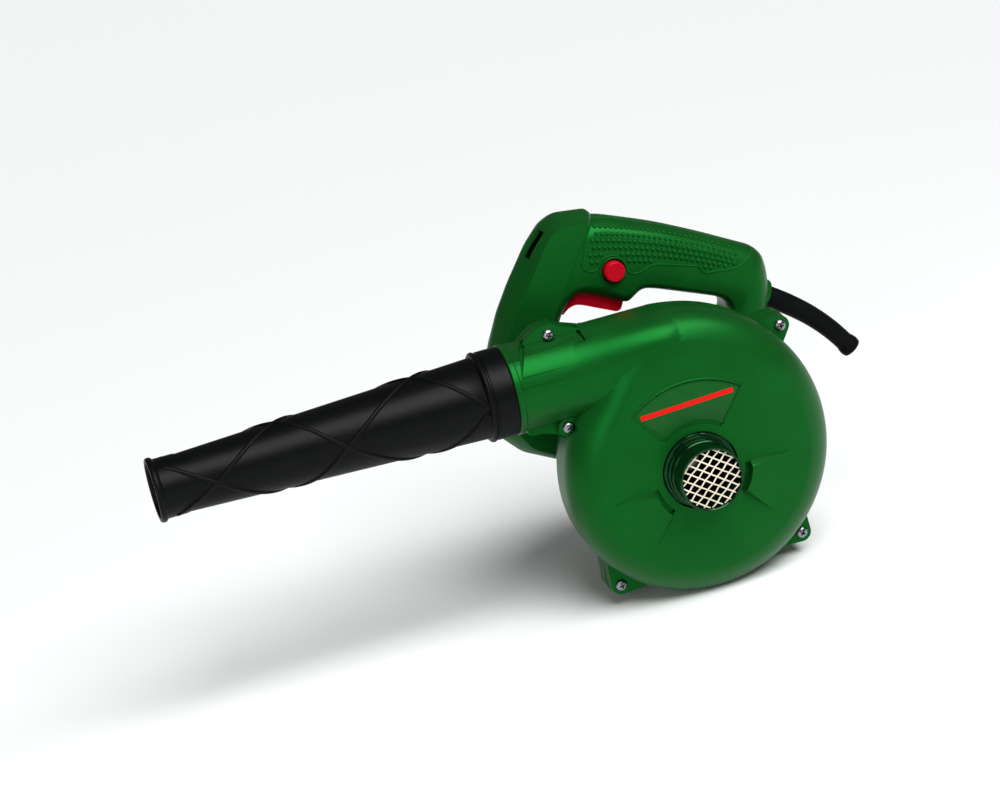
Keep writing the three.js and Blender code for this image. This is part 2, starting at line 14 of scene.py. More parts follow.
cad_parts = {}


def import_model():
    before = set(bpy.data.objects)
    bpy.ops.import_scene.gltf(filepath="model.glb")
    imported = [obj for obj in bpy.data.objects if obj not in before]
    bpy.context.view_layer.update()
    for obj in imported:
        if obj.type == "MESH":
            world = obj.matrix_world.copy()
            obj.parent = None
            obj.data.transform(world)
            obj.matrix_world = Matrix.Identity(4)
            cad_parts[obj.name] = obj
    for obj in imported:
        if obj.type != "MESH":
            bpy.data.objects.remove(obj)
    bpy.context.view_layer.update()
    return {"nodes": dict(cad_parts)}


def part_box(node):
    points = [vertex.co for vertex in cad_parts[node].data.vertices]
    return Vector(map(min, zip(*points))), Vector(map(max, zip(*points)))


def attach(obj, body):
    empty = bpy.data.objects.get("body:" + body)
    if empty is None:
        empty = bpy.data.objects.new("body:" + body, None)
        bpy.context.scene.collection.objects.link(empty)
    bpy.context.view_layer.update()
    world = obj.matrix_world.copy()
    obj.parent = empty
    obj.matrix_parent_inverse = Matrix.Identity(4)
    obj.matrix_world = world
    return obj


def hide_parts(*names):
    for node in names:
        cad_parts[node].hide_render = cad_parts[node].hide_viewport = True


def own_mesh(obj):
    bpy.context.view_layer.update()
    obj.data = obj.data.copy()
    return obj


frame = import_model()

MM = 0.001
shaft_low, shaft_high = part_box("motor_shaft")
cover_low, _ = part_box("fan_cover_front")
FACE_Y = -37.0  # flat front face of the fan case
FAN_CENTRE = Vector(
    (
        (shaft_low.x + shaft_high.x) / 2,
        cover_low.y - FACE_Y * MM,
        (shaft_low.z + shaft_high.z) / 2,
    )
)
TO_FRAME = Matrix.Translation(FAN_CENTRE) @ Matrix.Scale(MM, 4)
STAND_Z = -FAN_CENTRE.z / MM  # the level it stands on, below the fan axis

# ---- camera ----

CAMERA_AT = Vector((-491.17, -1826.47, 670.97))
CAMERA_RIGHT = Vector((0.94324, -0.26417, -0.20129))
CAMERA_UP = Vector((0.26865, 0.25055, 0.93008))
CAMERA_BACK = Vector((-0.19527, -0.93136, 0.30730))


def add_camera():
    data = bpy.data.cameras.new("camera")
    data.lens = 113.4
    data.sensor_width = 36
    data.clip_end = 60
    camera = bpy.data.objects.new("camera", data)
    bpy.context.scene.collection.objects.link(camera)
    turn = Matrix((CAMERA_RIGHT, CAMERA_UP, CAMERA_BACK)).transposed().to_4x4()
    camera.matrix_world = Matrix.Translation(TO_FRAME @ CAMERA_AT) @ turn
    bpy.context.scene.camera = camera


add_camera()

# ---- mesh helpers ----


def verts_of(geometry):
    return [item for item in geometry if isinstance(item, bmesh.types.BMVert)]


def edges_of(geometry):
    return [item for item in geometry if isinstance(item, bmesh.types.BMEdge)]


def skin(rings):
    """A closed skin: the first ring is drawn, and each next one is extruded from the last."""
    bm = bmesh.new()
    loop = [bm.verts.new(point) for point in rings[0]]
    count = len(loop)
    edges = [bm.edges.new((loop[i], loop[(i + 1) % count])) for i in range(count)]
    first = loop
    for ring in rings[1:]:
        made = bmesh.ops.extrude_edge_only(bm, edges=edges)["geom"]
        fresh = set(verts_of(made))
        edges = [e for e in edges_of(made) if e.verts[0] in fresh and e.verts[1] in fresh]
        loop = [
            next(e.other_vert(v) for e in v.link_edges if e.other_vert(v) in fresh) for v in loop
        ]
        for vert, point in zip(loop, ring):
            vert.co = point
    bm.faces.new(first)
    bm.faces.new(loop)
    bmesh.ops.recalc_face_normals(bm, faces=bm.faces)
    return bm


def turned(profile, steps=96, axis="Y", centre=(0, 0, 0)):
    """A profile of (radius, distance) points spun full round an axis."""
    bm = bmesh.new()
    verts = [bm.verts.new((r, d, 0)) for r, d in profile]
    edges = [bm.edges.new(pair) for pair in zip(verts, verts[1:])]
    if profile[0][0] > 0:
        edges.append(bm.edges.new((verts[-1], verts[0])))
    bmesh.ops.spin(
        bm, geom=verts + edges, cent=(0, 0, 0), axis=(0, 1, 0), angle=math.tau, steps=steps,
        use_merge=True,
    )
    bmesh.ops.remove_doubles(bm, verts=bm.verts, dist=1e-4)
    if axis == "-X":
        bmesh.ops.rotate(bm, verts=bm.verts, matrix=Matrix.Rotation(math.pi / 2, 3, "Z"))
    bmesh.ops.translate(bm, verts=bm.verts, vec=centre)
    bmesh.ops.recalc_face_normals(bm, faces=bm.faces)
    return bm


def slab(outline, y0, y1):
    """A flat outline of (x, z) points given its depth along Y."""
    bm = bmesh.new()
    face = bm.faces.new([bm.verts.new((x, y0, z)) for x, z in outline])
    made = bmesh.ops.extrude_face_region(bm, geom=[face])["geom"]
    bmesh.ops.translate(bm, verts=verts_of(made), vec=(0, y1 - y0, 0))
    bmesh.ops.recalc_face_normals(bm, faces=bm.faces)
    return bm


def block(low, high):
    """A box between two corners."""
    bm = bmesh.new()
    bmesh.ops.create_cube(bm, size=1)
    low, high = Vector(low), Vector(high)
    bmesh.ops.scale(bm, verts=bm.verts, vec=high - low)
    bmesh.ops.translate(bm, verts=bm.verts, vec=(low + high) / 2)
    return bm


def rod(centre, radius, y0, y1, steps=48):
    """A round bar along Y."""
    return turned([(0, y0), (radius, y0), (radius, y1), (0, y1)], steps, centre=(centre[0], 0, centre[1]))


def rounded(points, radius, per=4):
    """The outline with each corner turned into an arc. radius is one number or one for each corner."""
    count = len(points)
    radii = radius if isinstance(radius, (list, tuple)) else [radius] * count
    out = []
    for i, point in enumerate(points):
        here = Vector(point)
        before = Vector(points[i - 1]) - here
        after = Vector(points[(i + 1) % count]) - here
        reach = min(radii[i], 0.45 * before.length, 0.45 * after.length)
        start, end = here + before.normalized() * reach, here + after.normalized() * reach
        for k in range(per + 1):
            t = k / per
            out.append(start * (1 - t) ** 2 + here * (2 * t * (1 - t)) + end * t * t)
    return out


def arc(radius, start, end, count, centre=(0, 0)):
    """Points on an arc, with angles in degrees from +X towards +Z."""
    out = []
    for k in range(count + 1):
        angle = math.radians(start + (end - start) * k / count)
        out.append((centre[0] + radius * math.cos(angle), centre[1] + radius * math.sin(angle)))
    return out


def sweep(points, radius, sides=10):
    """A round bead along a line of points. radius is one number, or one for each point."""
    radii = radius if isinstance(radius, (list, tuple)) else [radius] * len(points)
    rings = []
    side = None
    for i, point in enumerate(points):
        before, after = points[max(0, i - 1)], points[min(len(points) - 1, i + 1)]
        along = (after - before).normalized()
        if side is None:
            side = along.orthogonal().normalized()
        side = (side - along * side.dot(along)).normalized()
        other = along.cross(side)
        turns = [math.tau * k / sides for k in range(sides)]
        rings.append([point + (side * math.cos(t) + other * math.sin(t)) * radii[i] for t in turns])
    return skin(rings)


def smooth_line(points, per=12):
    """A Catmull-Rom line through the points."""
    ends = [points[0] * 2 - points[1], *points, points[-1] * 2 - points[-2]]
    out = []
    for i in range(1, len(ends) - 2):
        a, b, c, d = ends[i - 1 : i + 3]
        for k in range(per):
            t = k / per
            bend, twist = 2 * a - 5 * b + 4 * c - d, 3 * b - a - 3 * c + d
            out.append(0.5 * (2 * b + (c - a) * t + bend * t * t + twist * t**3))
    out.append(points[-1])
    return out


def body_of_mesh(name, *parts):
    """One object holding the given bmeshes."""
    whole = bmesh.new()
    for bm in parts:
        carrier = bpy.data.meshes.new("carrier")
        bm.to_mesh(carrier)
        whole.from_mesh(carrier)
        bpy.data.meshes.remove(carrier)
        bm.free()
    mesh = bpy.data.meshes.new(name)
    whole.to_mesh(mesh)
    whole.free()
    obj = bpy.data.objects.new(name, mesh)
    bpy.context.scene.collection.objects.link(obj)
    return obj


def bake_modifiers(obj):
    """Turns the mesh into what its modifiers make of it."""
    graph = bpy.context.evaluated_depsgraph_get()
    made = bpy.data.meshes.new_from_object(obj.evaluated_get(graph))
    obj.modifiers.clear()
    old = obj.data
    obj.data = made
    bpy.data.meshes.remove(old)


def shape(obj, *steps):
    """Joins, cuts or keeps in common: each step is (operation, bmesh)."""
    tools = []
    for operation, bm in steps:
        tool = body_of_mesh("tool", bm)
        modifier = obj.modifiers.new("shape", "BOOLEAN")
        modifier.operation = operation
        modifier.object = tool
        modifier.solver = "MANIFOLD"
        tools.append(tool)
    bake_modifiers(obj)
    if not obj.data.polygons:
        raise RuntimeError(obj.name + " is empty after its cuts")
    for tool in tools:
        bpy.data.objects.remove(tool)
    return obj


def soften(obj, width, segments=2, angle=32):
    """Rounds the sharp edges, as a mould does."""
    modifier = obj.modifiers.new("edges", "BEVEL")
    modifier.width = width
    modifier.segments = segments
    modifier.limit_method = "ANGLE"
    modifier.angle_limit = math.radians(angle)
    modifier.use_clamp_overlap = True
    modifier.harden_normals = False
    bake_modifiers(obj)
    return obj


def finish_piece(obj, body, slot, material, *replaced, sharp=38):
    """Puts a piece in the shared frame, on its body, with its finish."""
    obj.data.transform(TO_FRAME)
    obj.data.shade_smooth()
    obj.data.set_sharp_from_angle(angle=math.radians(sharp))
    obj.data.materials.clear()
    obj.data.materials.append(material)
    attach(obj, body)
    if replaced:
        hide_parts(*replaced)
    return obj


# ---- materials ----


def linear(code):
    """An sRGB hex colour as linear RGBA."""
    values = [int(code[i : i + 2], 16) / 255 for i in (0, 2, 4)]
    return tuple(v / 12.92 if v <= 0.04045 else ((v + 0.055) / 1.055) ** 2.4 for v in values) + (1.0,)


def add_node(tree, kind, settings=None, links=None):
    """Adds a node. settings are socket values or properties; links are input name: (node, output)."""
    node = tree.nodes.new(kind)
    for key, value in (settings or {}).items():
        if isinstance(key, str) and hasattr(node, key):
            setattr(node, key, value)
        else:
            node.inputs[key].default_value = value
    for key, (source, output) in (links or {}).items():
        tree.links.new(source.outputs[output], node.inputs[key])
    return node


def new_material(name):
    """An empty node material and its tree."""
    material = bpy.data.materials.new(name)
    material.use_nodes = True
    tree = material.node_tree
    tree.nodes.clear()
    return material, tree


def moulded(name, dark, light, roughness, grain_mm, grain_height, blotch_mm=14.0, shine=0.5, tint="ffffff"):
    """Moulded plastic: slow colour drift, uneven gloss and a fine spark-eroded grain."""
    material, tree = new_material(name)
    where = add_node(tree, "ShaderNodeTexCoord")
    drift = add_node(
        tree, "ShaderNodeTexNoise", {"Scale": 1 / (blotch_mm * MM), "Detail": 4.0, "Roughness": 0.55},
        {"Vector": (where, "Object")},
    )
    colour = add_node(tree, "ShaderNodeValToRGB", links={"Fac": (drift, "Fac")})
    colour.color_ramp.elements[0].position = 0.3
    colour.color_ramp.elements[0].color = linear(dark)
    colour.color_ramp.elements[1].position = 0.7
    colour.color_ramp.elements[1].color = linear(light)
    gloss = add_node(
        tree, "ShaderNodeMapRange", {"To Min": roughness - 0.05, "To Max": roughness + 0.05},
        {"Value": (drift, "Fac")},
    )
    grain = add_node(
        tree, "ShaderNodeTexNoise", {"Scale": 1 / (grain_mm * MM), "Detail": 2.0},
        {"Vector": (where, "Object")},
    )
    bump = add_node(
        tree, "ShaderNodeBump", {"Strength": 0.6, "Distance": grain_height * MM},
        {"Height": (grain, "Fac")},
    )
    shader = add_node(
        tree, "ShaderNodeBsdfPrincipled", {"Specular IOR Level": shine, "Specular Tint": linear(tint)},
        {"Base Color": (colour, "Color"), "Roughness": (gloss, "Result"), "Normal": (bump, "Normal")},
    )
    add_node(tree, "ShaderNodeOutputMaterial", links={"Surface": (shader, "BSDF")})
    return material


def metal(name, colour, roughness, scratch_mm, height):
    """Metal with fine wear marks."""
    material, tree = new_material(name)
    where = add_node(tree, "ShaderNodeTexCoord")
    marks = add_node(
        tree, "ShaderNodeTexNoise", {"Scale": 1 / (scratch_mm * MM), "Detail": 5.0},
        {"Vector": (where, "Object")},
    )
    gloss = add_node(
        tree, "ShaderNodeMapRange", {"To Min": roughness - 0.06, "To Max": roughness + 0.08},
        {"Value": (marks, "Fac")},
    )
    bump = add_node(
        tree, "ShaderNodeBump", {"Strength": 0.4, "Distance": height * MM}, {"Height": (marks, "Fac")}
    )
    shader = add_node(
        tree, "ShaderNodeBsdfPrincipled", {"Base Color": linear(colour), "Metallic": 1.0},
        {"Roughness": (gloss, "Result"), "Normal": (bump, "Normal")},
    )
    add_node(tree, "ShaderNodeOutputMaterial", links={"Surface": (shader, "BSDF")})
    return material


# Injection-moulded ABS for case and handle: satin, deep green, with a highlight that stays green.
ABS_GREEN = moulded(
    "abs_green_satin", "0a3f13", "0c4616", 0.36, 0.7, 0.02, blotch_mm=30.0, shine=0.5, tint="3cff6e"
)
# The same ABS polished in the mould for the intake collar, with its colour made near black: painted shade of
# the recess round the intake.
ABS_COLLAR_PAINTED_SHADE = moulded("abs_green_polished_painted_shade", "021607", "03200b", 0.15, 1.2, 0.006, shine=0.5, tint="8cffab")
# Polypropylene nozzle: satin black with a fine texture.
PP_BLACK = moulded("polypropylene_black", "040505", "070809", 0.4, 0.6, 0.02, blotch_mm=25.0, shine=0.1)
# Soft PVC cord guard: black and slightly dull.
PVC_BLACK = moulded("pvc_black_soft", "060708", "0b0c0d", 0.5, 0.5, 0.015, shine=0.06)
# Glossy ABS for trigger and button. The trigger's red is made lighter than the button's: painted light to make
# up for the handle's shade on the trigger.
ABS_RED_PAINTED_LIGHT = moulded("abs_red_trigger_painted_light", "c0061f", "d00a28", 0.3, 0.8, 0.015, shine=0.25, tint="ff8c96")
ABS_BUTTON = moulded("abs_red_button", "a80418", "b8061c", 0.3, 0.8, 0.01, shine=0.25, tint="ff8c96")
# Glass-filled nylon of the fan wheels: grey-black, dull.
NYLON_GREY = moulded("nylon_dark_grey", "202327", "2b2f33", 0.55, 0.5, 0.03)
# Phenolic and plain black plastic inside the handle.
PHENOLIC = moulded("phenolic_black", "0d0e10", "1a1b1d", 0.5, 0.5, 0.02)
CARBON = moulded("pressed_carbon", "141416", "242426", 0.7, 0.3, 0.03)
EPOXY = moulded("epoxy_yellow", "c08a10", "d6a01c", 0.3, 1.0, 0.01)
ZINC = metal("zinc_plated_steel", "8f9196", 0.24, 0.9, 0.01)
WIRE = moulded("coated_cream_wire", "d8cdb4", "efe7d2", 0.35, 0.4, 0.01)
STEEL = metal("ground_steel", "a9abb0", 0.28, 0.5, 0.01)
SPRING = metal("spring_steel", "8f9196", 0.3, 0.6, 0.01)
IRON = metal("laminated_iron", "55575b", 0.5, 0.8, 0.03)
COPPER = metal("enamelled_copper", "a8582a", 0.32, 0.6, 0.03)
BRASS = metal("pressed_brass", "b58a3a", 0.3, 0.7, 0.01)

# Label film: smooth brighter green with one plain red diagonal stripe printed on it.
STRIPE_FROM = (-31.5, 43.2)
STRIPE_TO = (30.3, 45.4)
STRIPE_HALF_WIDTH = 1.6


def label_film():
    """The stripe is drawn in a frame laid along it, where it is a band about the middle."""
    material, tree = new_material("printed_label_film")
    where = add_node(tree, "ShaderNodeTexCoord")
    start, end = Vector(STRIPE_FROM), Vector(STRIPE_TO)
    along = (end - start).normalized()
    centre = TO_FRAME @ Vector(((start.x + end.x) / 2, 0, (start.y + end.y) / 2))
    lean = -math.atan2(along.y, along.x)
    turn = Matrix.Rotation(-lean, 3, "Y")
    offset = turn @ -Vector(centre)
    laid = add_node(
        tree, "ShaderNodeMapping", {"Rotation": (0, -lean, 0), "Location": tuple(offset)},
        {"Vector": (where, "Object")},
    )
    axes = add_node(tree, "ShaderNodeSeparateXYZ", links={"Vector": (laid, "Vector")})
    across = add_node(tree, "ShaderNodeMath", {"operation": "ABSOLUTE"}, {0: (axes, "Z")})
    lengthways = add_node(tree, "ShaderNodeMath", {"operation": "ABSOLUTE"}, {0: (axes, "X")})
    narrow = add_node(
        tree, "ShaderNodeMath", {"operation": "LESS_THAN", 1: STRIPE_HALF_WIDTH * MM},
        {0: (across, "Value")},
    )
    short = add_node(
        tree, "ShaderNodeMath", {"operation": "LESS_THAN", 1: (end - start).length / 2 * MM},
        {0: (lengthways, "Value")},
    )
    band = add_node(
        tree, "ShaderNodeMath", {"operation": "MULTIPLY"}, {0: (narrow, "Value"), 1: (short, "Value")}
    )
    drift = add_node(
        tree, "ShaderNodeTexNoise", {"Scale": 1 / (9 * MM), "Detail": 2.0}, {"Vector": (where, "Object")}
    )
    ground = add_node(tree, "ShaderNodeValToRGB", links={"Fac": (drift, "Fac")})
    ground.color_ramp.elements[0].color = linear("0d4a18")
    ground.color_ramp.elements[1].color = linear("10541d")
    ink = add_node(
        tree, "ShaderNodeMix", {"data_type": "RGBA", 7: linear("d40d06")},
        {0: (band, "Value"), 6: (ground, "Color")},
    )
    shader = add_node(
        tree, "ShaderNodeBsdfPrincipled", {"Roughness": 0.32, "Specular IOR Level": 0.14},
        {"Base Color": (ink, 2)},
    )
    add_node(tree, "ShaderNodeOutputMaterial", links={"Surface": (shader, "BSDF")})
    return material


LABEL_FILM = label_film()

# ---- fan case: scroll and outlet duct ----

OUTLET_Z = 73.2
DUCT_R = 28.3
DUCT_END_X = -103.0
SPIGOT_R = 24.6  # the short tube that the nozzle slides over
SHOULDER_Y = -15.0
SHOULDER_WIDTH = 19.0
BACK_Y = 33.0
WALL = 2.5
SPLIT = 0.15  # half the gap between two shells
SCREWS = {
    "case_screw_1": (-72.0, 103.6),
    "case_screw_2": (-72.6, 44.0),
    "case_screw_3": (76.2, 68.4),
    "case_screw_4": (65.4, -70.6),
    "case_screw_5": (-58.6, -69.9),
}
SEAT_Y = -9.7  # the screw heads sit here
WEB_SEAT_Y = -15.7  # and the one under the duct further forward
CASE_HEAD = 3.9  # head radii
GRIP_HEAD = 3.4
CASE_HEAD_ROOM = 4.1  # radii of the holes round heads and shanks
SHANK_ROOM = 2.1


def seat_of(name):
    """The level that this screw's head sits on."""
    return WEB_SEAT_Y if name == "case_screw_2" else SEAT_Y


def smooth(t):
    """Runs from 0 to 1 with a soft start and end."""
    t = min(1.0, max(0.0, t))
    return t * t * (3 - 2 * t)


SCROLL_LOW_R = 83
SCROLL_GROWTH = 19
SCROLL_FROM = 140  # degrees, where the scroll starts under the outlet
SCROLL_TURN = 310  # degrees until it stops growing
CREASE = 22  # degrees at which the shoulder leaves the face, so that they meet in a soft crease


def scroll_radius(angle):
    """Grows from under the outlet round to the top, then falls back inside the duct."""
    turn = (angle - SCROLL_FROM) % 360
    if turn <= SCROLL_TURN:
        return SCROLL_LOW_R + SCROLL_GROWTH * max(0.0, (turn - 30) / (SCROLL_TURN - 30)) ** 2
    return SCROLL_LOW_R + SCROLL_GROWTH * (1 - smooth((turn - SCROLL_TURN) / (360 - SCROLL_TURN)))


def scroll(inset, around=180):
    """The scroll, or with an inset the room inside its wall."""
    profile = []
    start = math.radians(CREASE)
    for k in range(13):
        bend = start + (math.pi / 2 - start) * k / 12
        rise = math.cos(bend) / math.cos(start)
        inwards = SHOULDER_WIDTH * (1 - math.sin(bend)) / (1 - math.sin(start))
        profile.append((inwards + inset, SHOULDER_Y + (FACE_Y + inset - SHOULDER_Y) * rise))
    for k in range(9):
        share = 0.04 + 0.96 * math.sin(math.pi / 2 * k / 8)
        taper = 8.5 * share + 9.5 * share**5
        profile.append((taper + inset, share * (BACK_Y - inset)))
    rings = []
    for inwards, y in profile:
        ring = []
        for i in range(around):
            angle = 360 * i / around
            r = scroll_radius(angle) - inwards
            ring.append((r * math.cos(math.radians(angle)), y, r * math.sin(math.radians(angle))))
        rings.append(ring)
    return skin(rings)


ROUND_FROM = 76  # the duct is round from this distance on


def duct_section(x, inset, per=14):
    """A box section with rounded corners that becomes a circle towards the outlet."""
    share = smooth(-x / ROUND_FROM)

    def mix(boxy, circle):
        return boxy + (circle - boxy) * share

    front, back = mix(37, DUCT_R) - inset, mix(BACK_Y, DUCT_R) - inset
    top, bottom = DUCT_R - inset, DUCT_R - inset
    corners = [
        (-1, 1, front, top, mix(22, DUCT_R), mix(19, DUCT_R)),
        (1, 1, back, top, mix(32, DUCT_R), mix(27, DUCT_R)),
        (1, -1, back, bottom, mix(32, DUCT_R), mix(27, DUCT_R)),
        (-1, -1, front, bottom, mix(16, DUCT_R), mix(14, DUCT_R)),
    ]
    ring = []
    for index, (sy, sz, depth, height, ry, rz) in enumerate(corners):
        ry, rz = min(ry, depth - 0.01), min(rz, height - 0.01)
        power = mix(1.25, 1.0) if sy > 0 else 1.0  # the rear half falls away faster than an ellipse
        for k in range(per + 1):
            bend = math.pi / 2 * k / per
            a, b = max(0.0, math.cos(bend)) ** power, math.sin(bend) ** power
            if index % 2:
                a, b = b, a
            ring.append((x, sy * (depth - ry * (1 - a)), OUTLET_Z + sz * (height - rz * (1 - b))))
    return ring


def duct(inset, end_x):
    """The duct, from inside the scroll to end_x. Its first section is smaller and ends under the skin."""
    stations = [4, 0, -6, -12, -20, -28, -36, -44, -52, -60, -68, -76, -88, end_x]
    return skin([duct_section(x, inset + (1.0 if x > 0 else 0)) for x in stations])


def hull_outline(centre, radius, feet, per=20):
    """A round end about centre whose straight sides run to the two feet."""
    points = [Vector(p) for p in arc(radius, 0, 360 - 360 / per, per - 1, centre)] + [Vector(f) for f in feet]
    points.sort(key=lambda p: (p.x, p.y))
    halves = []
    for run in (points, points[::-1]):
        chain = []
        for p in run:
            while len(chain) > 1 and (chain[-1] - chain[-2]).cross(p - chain[-1]) <= 0:
                chain.pop()
            chain.append(p)
        halves.append(chain[:-1])
    return [tuple(p) for p in halves[0] + halves[1]]


LUG_FEET = {
    "case_screw_3": [(58, 74), (72, 50)],
    "case_screw_4": [(70, -50), (46, -76)],
    "case_screw_5": [(-64.9, -50), (-38, -75)],
}
TOP_LUG = [
    (-103, 88), (-102.2, 99.9), (-91.6, 100.2), (-85.9, 105.2), (-79, 109.4), (-69.6, 110.6),
    (-65, 107.3), (-48.4, 101.3), (-38, 90),
]
UNDER_WEB = [(-98, 52), (-97, 43), (-88, 42.6), (-80, 40), (-73, 34), (-68, 26), (-56, 30), (-50, 60)]


def lug_outlines(grow):
    """The three screw ears, the long lug over the duct and the web under it."""
    shapes = [hull_outline(SCREWS[name], 6.4 + grow, feet) for name, feet in LUG_FEET.items()]
    shapes.append([tuple(p) for p in rounded([(x, z + grow) for x, z in TOP_LUG], 3)])
    shapes.append([tuple(p) for p in rounded([(x - grow, z - grow) for x, z in UNDER_WEB], 3)])
    return shapes


PAD_RISE = 0.9
PAD_SHIFT = 0.6


def outlet_pad():
    """A raised band over the top of the duct that fades out down its front."""
    r = DUCT_R + PAD_RISE
    return turned([(0, 40), (r, 40), (r, 99), (0, 99)], 96, "-X", (0, PAD_SHIFT, OUTLET_Z + PAD_SHIFT))


# Notches that end the raised band, deep at the top and running out on the front.
PAD_NOTCHES = [
    [(-54, -3, 102.8), (-51.8, -17.5, 95.9), (-43.7, -27, 88)],
    [(-88, -4, 103), (-92.5, -16, 97.4), (-97, -25.5, 86.5)],
]
PAD_SIDES = [
    (-98.5, 80), (-97, 86.5), (-88.3, 103), (-86, 112), (-50, 112), (-48, 103), (-41.5, 86), (-40, 80),
]


# Wedges beside the intake: (from degrees, to degrees, outer radius, inner radius).
WEDGES = [(186.5, 227.5, 61.8, 33.2), (-44, -3.5, 60, 32.6)]
WEDGE_RISE = 5.2
WEDGE_LEAN = 6.5  # degrees that each flank leans inwards
# Curved slots round the intake: (from degrees, to degrees, inner radius, outer radius, depth).
FACE_GROOVES = [(189, 225, 29.8, 33.0, 2.2), (-41, -7, 29.4, 32.4, 2.2), (53, 127, 29.9, 32.3, 1.2)]
INTAKE_HOLE_R = 25.1


def raised_sector(a0, a1, outer, inner, rise, lean):
    """A ramp on the face between two angles: flush at its outer edge, standing rise at its inner edge."""
    rings = []
    count = 24
    for i in range(count + 1):
        t = i / count
        foot = math.radians(a0 + (a1 - a0) * t)
        crest = math.radians(a0 + lean + (a1 - a0 - 2 * lean) * t)
        ring = []
        for r, angle, y in (
            (outer, foot, FACE_Y + 1.2),
            (outer, foot, FACE_Y + 0.02),
            (inner, crest, FACE_Y - rise),
            (inner, foot, FACE_Y + 1.2),
        ):
            ring.append((r * math.cos(angle), y, r * math.sin(angle)))
        rings.append(ring)
    return skin(rings)


def arc_groove(a0, a1, inner, outer, depth):
    """A curved slot cut into the face."""
    outline = arc(outer, a0, a1, 24) + arc(inner, a1, a0, 24)
    return slab(outline, FACE_Y - 6, FACE_Y + depth)


# The label covers this sector: (outer radius, inner radius, from degrees, to degrees).
LABEL = (57.9, 32.4, 52.7, 127.3)
LABEL_SEAT = (58.6, 31.7, 52.0, 128.0)


def sector(outer, inner, start, end):
    """The outline of a piece of a ring."""
    return arc(outer, start, end, 40) + arc(inner, end, start, 30)


def case_outside(name, grow):
    """Scroll, duct, outlet spigot and lugs as one solid."""
    low, high = (SEAT_Y, 2) if grow == 0 else (-2, 12)
    obj = body_of_mesh(name, scroll(0))
    steps = [("UNION", duct(0, DUCT_END_X))]
    r = DUCT_R
    lip = [(0, 95), (r, 95), (r, 98.6), (r + 0.7, 99.4), (r + 0.7, 102.4), (r, 103), (0, 103)]
    steps.append(("UNION", turned(lip, 96, "-X", (0, 0, OUTLET_Z))))
    spigot = [(0, 95), (SPIGOT_R, 95), (SPIGOT_R, 130), (SPIGOT_R - 0.6, 131), (0, 131)]
    steps.append(("UNION", turned(spigot, 96, "-X", (0, 0, OUTLET_Z))))
    for outline in lug_outlines(grow * 0.4):
        over_duct = max(z for _, z in outline) > 100
        steps.append(("UNION", slab(outline, low, 3 if over_duct else high)))
    return shape(obj, *steps)


def hollow_steps():
    """The cuts that leave a wall round the scroll and the duct, and open the outlet."""
    r = SPIGOT_R - WALL
    bore = turned([(0, 94), (r, 94), (r, 140), (0, 140)], 96, "-X", (0, 0, OUTLET_Z))
    return [
        ("DIFFERENCE", scroll(WALL, 120)),
        ("DIFFERENCE", duct(WALL, DUCT_END_X + 4)),
        ("DIFFERENCE", bore),
    ]


def fan_cover():
    """Front half: outlet band, two wedges beside the intake, label seat and screw seats."""
    obj = case_outside("fan_cover", 0)
    pad = body_of_mesh("pad", outlet_pad())
    shape(pad, ("INTERSECT", slab(PAD_SIDES, -60, 60)))
    pad_bm = bmesh.new()
    pad_bm.from_mesh(pad.data)
    bpy.data.objects.remove(pad)
    steps = [("UNION", pad_bm)]
    for start, end, outer, inner in WEDGES:
        steps.append(("UNION", raised_sector(start, end, outer, inner, WEDGE_RISE, WEDGE_LEAN)))
    web_boss = hull_outline(SCREWS["case_screw_2"], 6.2, [(-56, 60), (-58, 34)])
    steps.append(("UNION", slab(web_boss, WEB_SEAT_Y, 0)))
    shape(obj, *steps)
    steps = hollow_steps()
    steps.append(("DIFFERENCE", rod((0, 0), INTAKE_HOLE_R, -70, -20, 96)))
    steps += [("DIFFERENCE", arc_groove(*groove)) for groove in FACE_GROOVES]
    steps.append(("DIFFERENCE", slab(sector(*LABEL_SEAT), FACE_Y - 5, FACE_Y + 0.9)))
    for name, at in SCREWS.items():
        steps.append(("DIFFERENCE", rod(at, CASE_HEAD_ROOM, -40, seat_of(name), 40)))
        steps.append(("DIFFERENCE", rod(at, SHANK_ROOM, -20, 8, 24)))
    steps += [("DIFFERENCE", sweep([Vector(p) for p in line], [2.1, 1.7, 0.4], 12)) for line in PAD_NOTCHES]
    steps.append(("INTERSECT", block((-200, -100, -200), (200, -SPLIT, 200))))
    shape(obj, *steps)
    return soften(obj, 0.45)


HUB_HOLE_R = 18
MOTOR_SCREWS_R = 40
MOTOR_SHANK_ROOM = 1.9


def rear_case():
    """Rear half, open to the motor, with the shaft hole and three holes for the housing screws."""
    obj = case_outside("fan_case", 1)
    steps = hollow_steps()
    steps.append(("DIFFERENCE", rod((0, 0), HUB_HOLE_R, 20, 50, 64)))
    for at in SCREWS.values():
        steps.append(("DIFFERENCE", rod(at, SHANK_ROOM, -5, 11, 24)))
    for at in arc(MOTOR_SCREWS_R, 30, 270, 2):
        steps.append(("DIFFERENCE", rod(at, MOTOR_SHANK_ROOM, 20, 40, 24)))
    steps.append(("INTERSECT", block((-200, SPLIT, -200), (200, 100, 200))))
    shape(obj, *steps)
    return soften(obj, 0.45)


finish_piece(fan_cover(), "housing", "case_green", ABS_GREEN, "fan_cover_front")
finish_piece(rear_case(), "housing", "case_green", ABS_GREEN, "fan_case_rear")


def label_plate():
    """A thin plate that lies in the cover's seat."""
    outline = sector(*LABEL)
    obj = body_of_mesh("label", slab(outline, FACE_Y + 0.1, FACE_Y + 0.7))
    return soften(obj, 0.2)


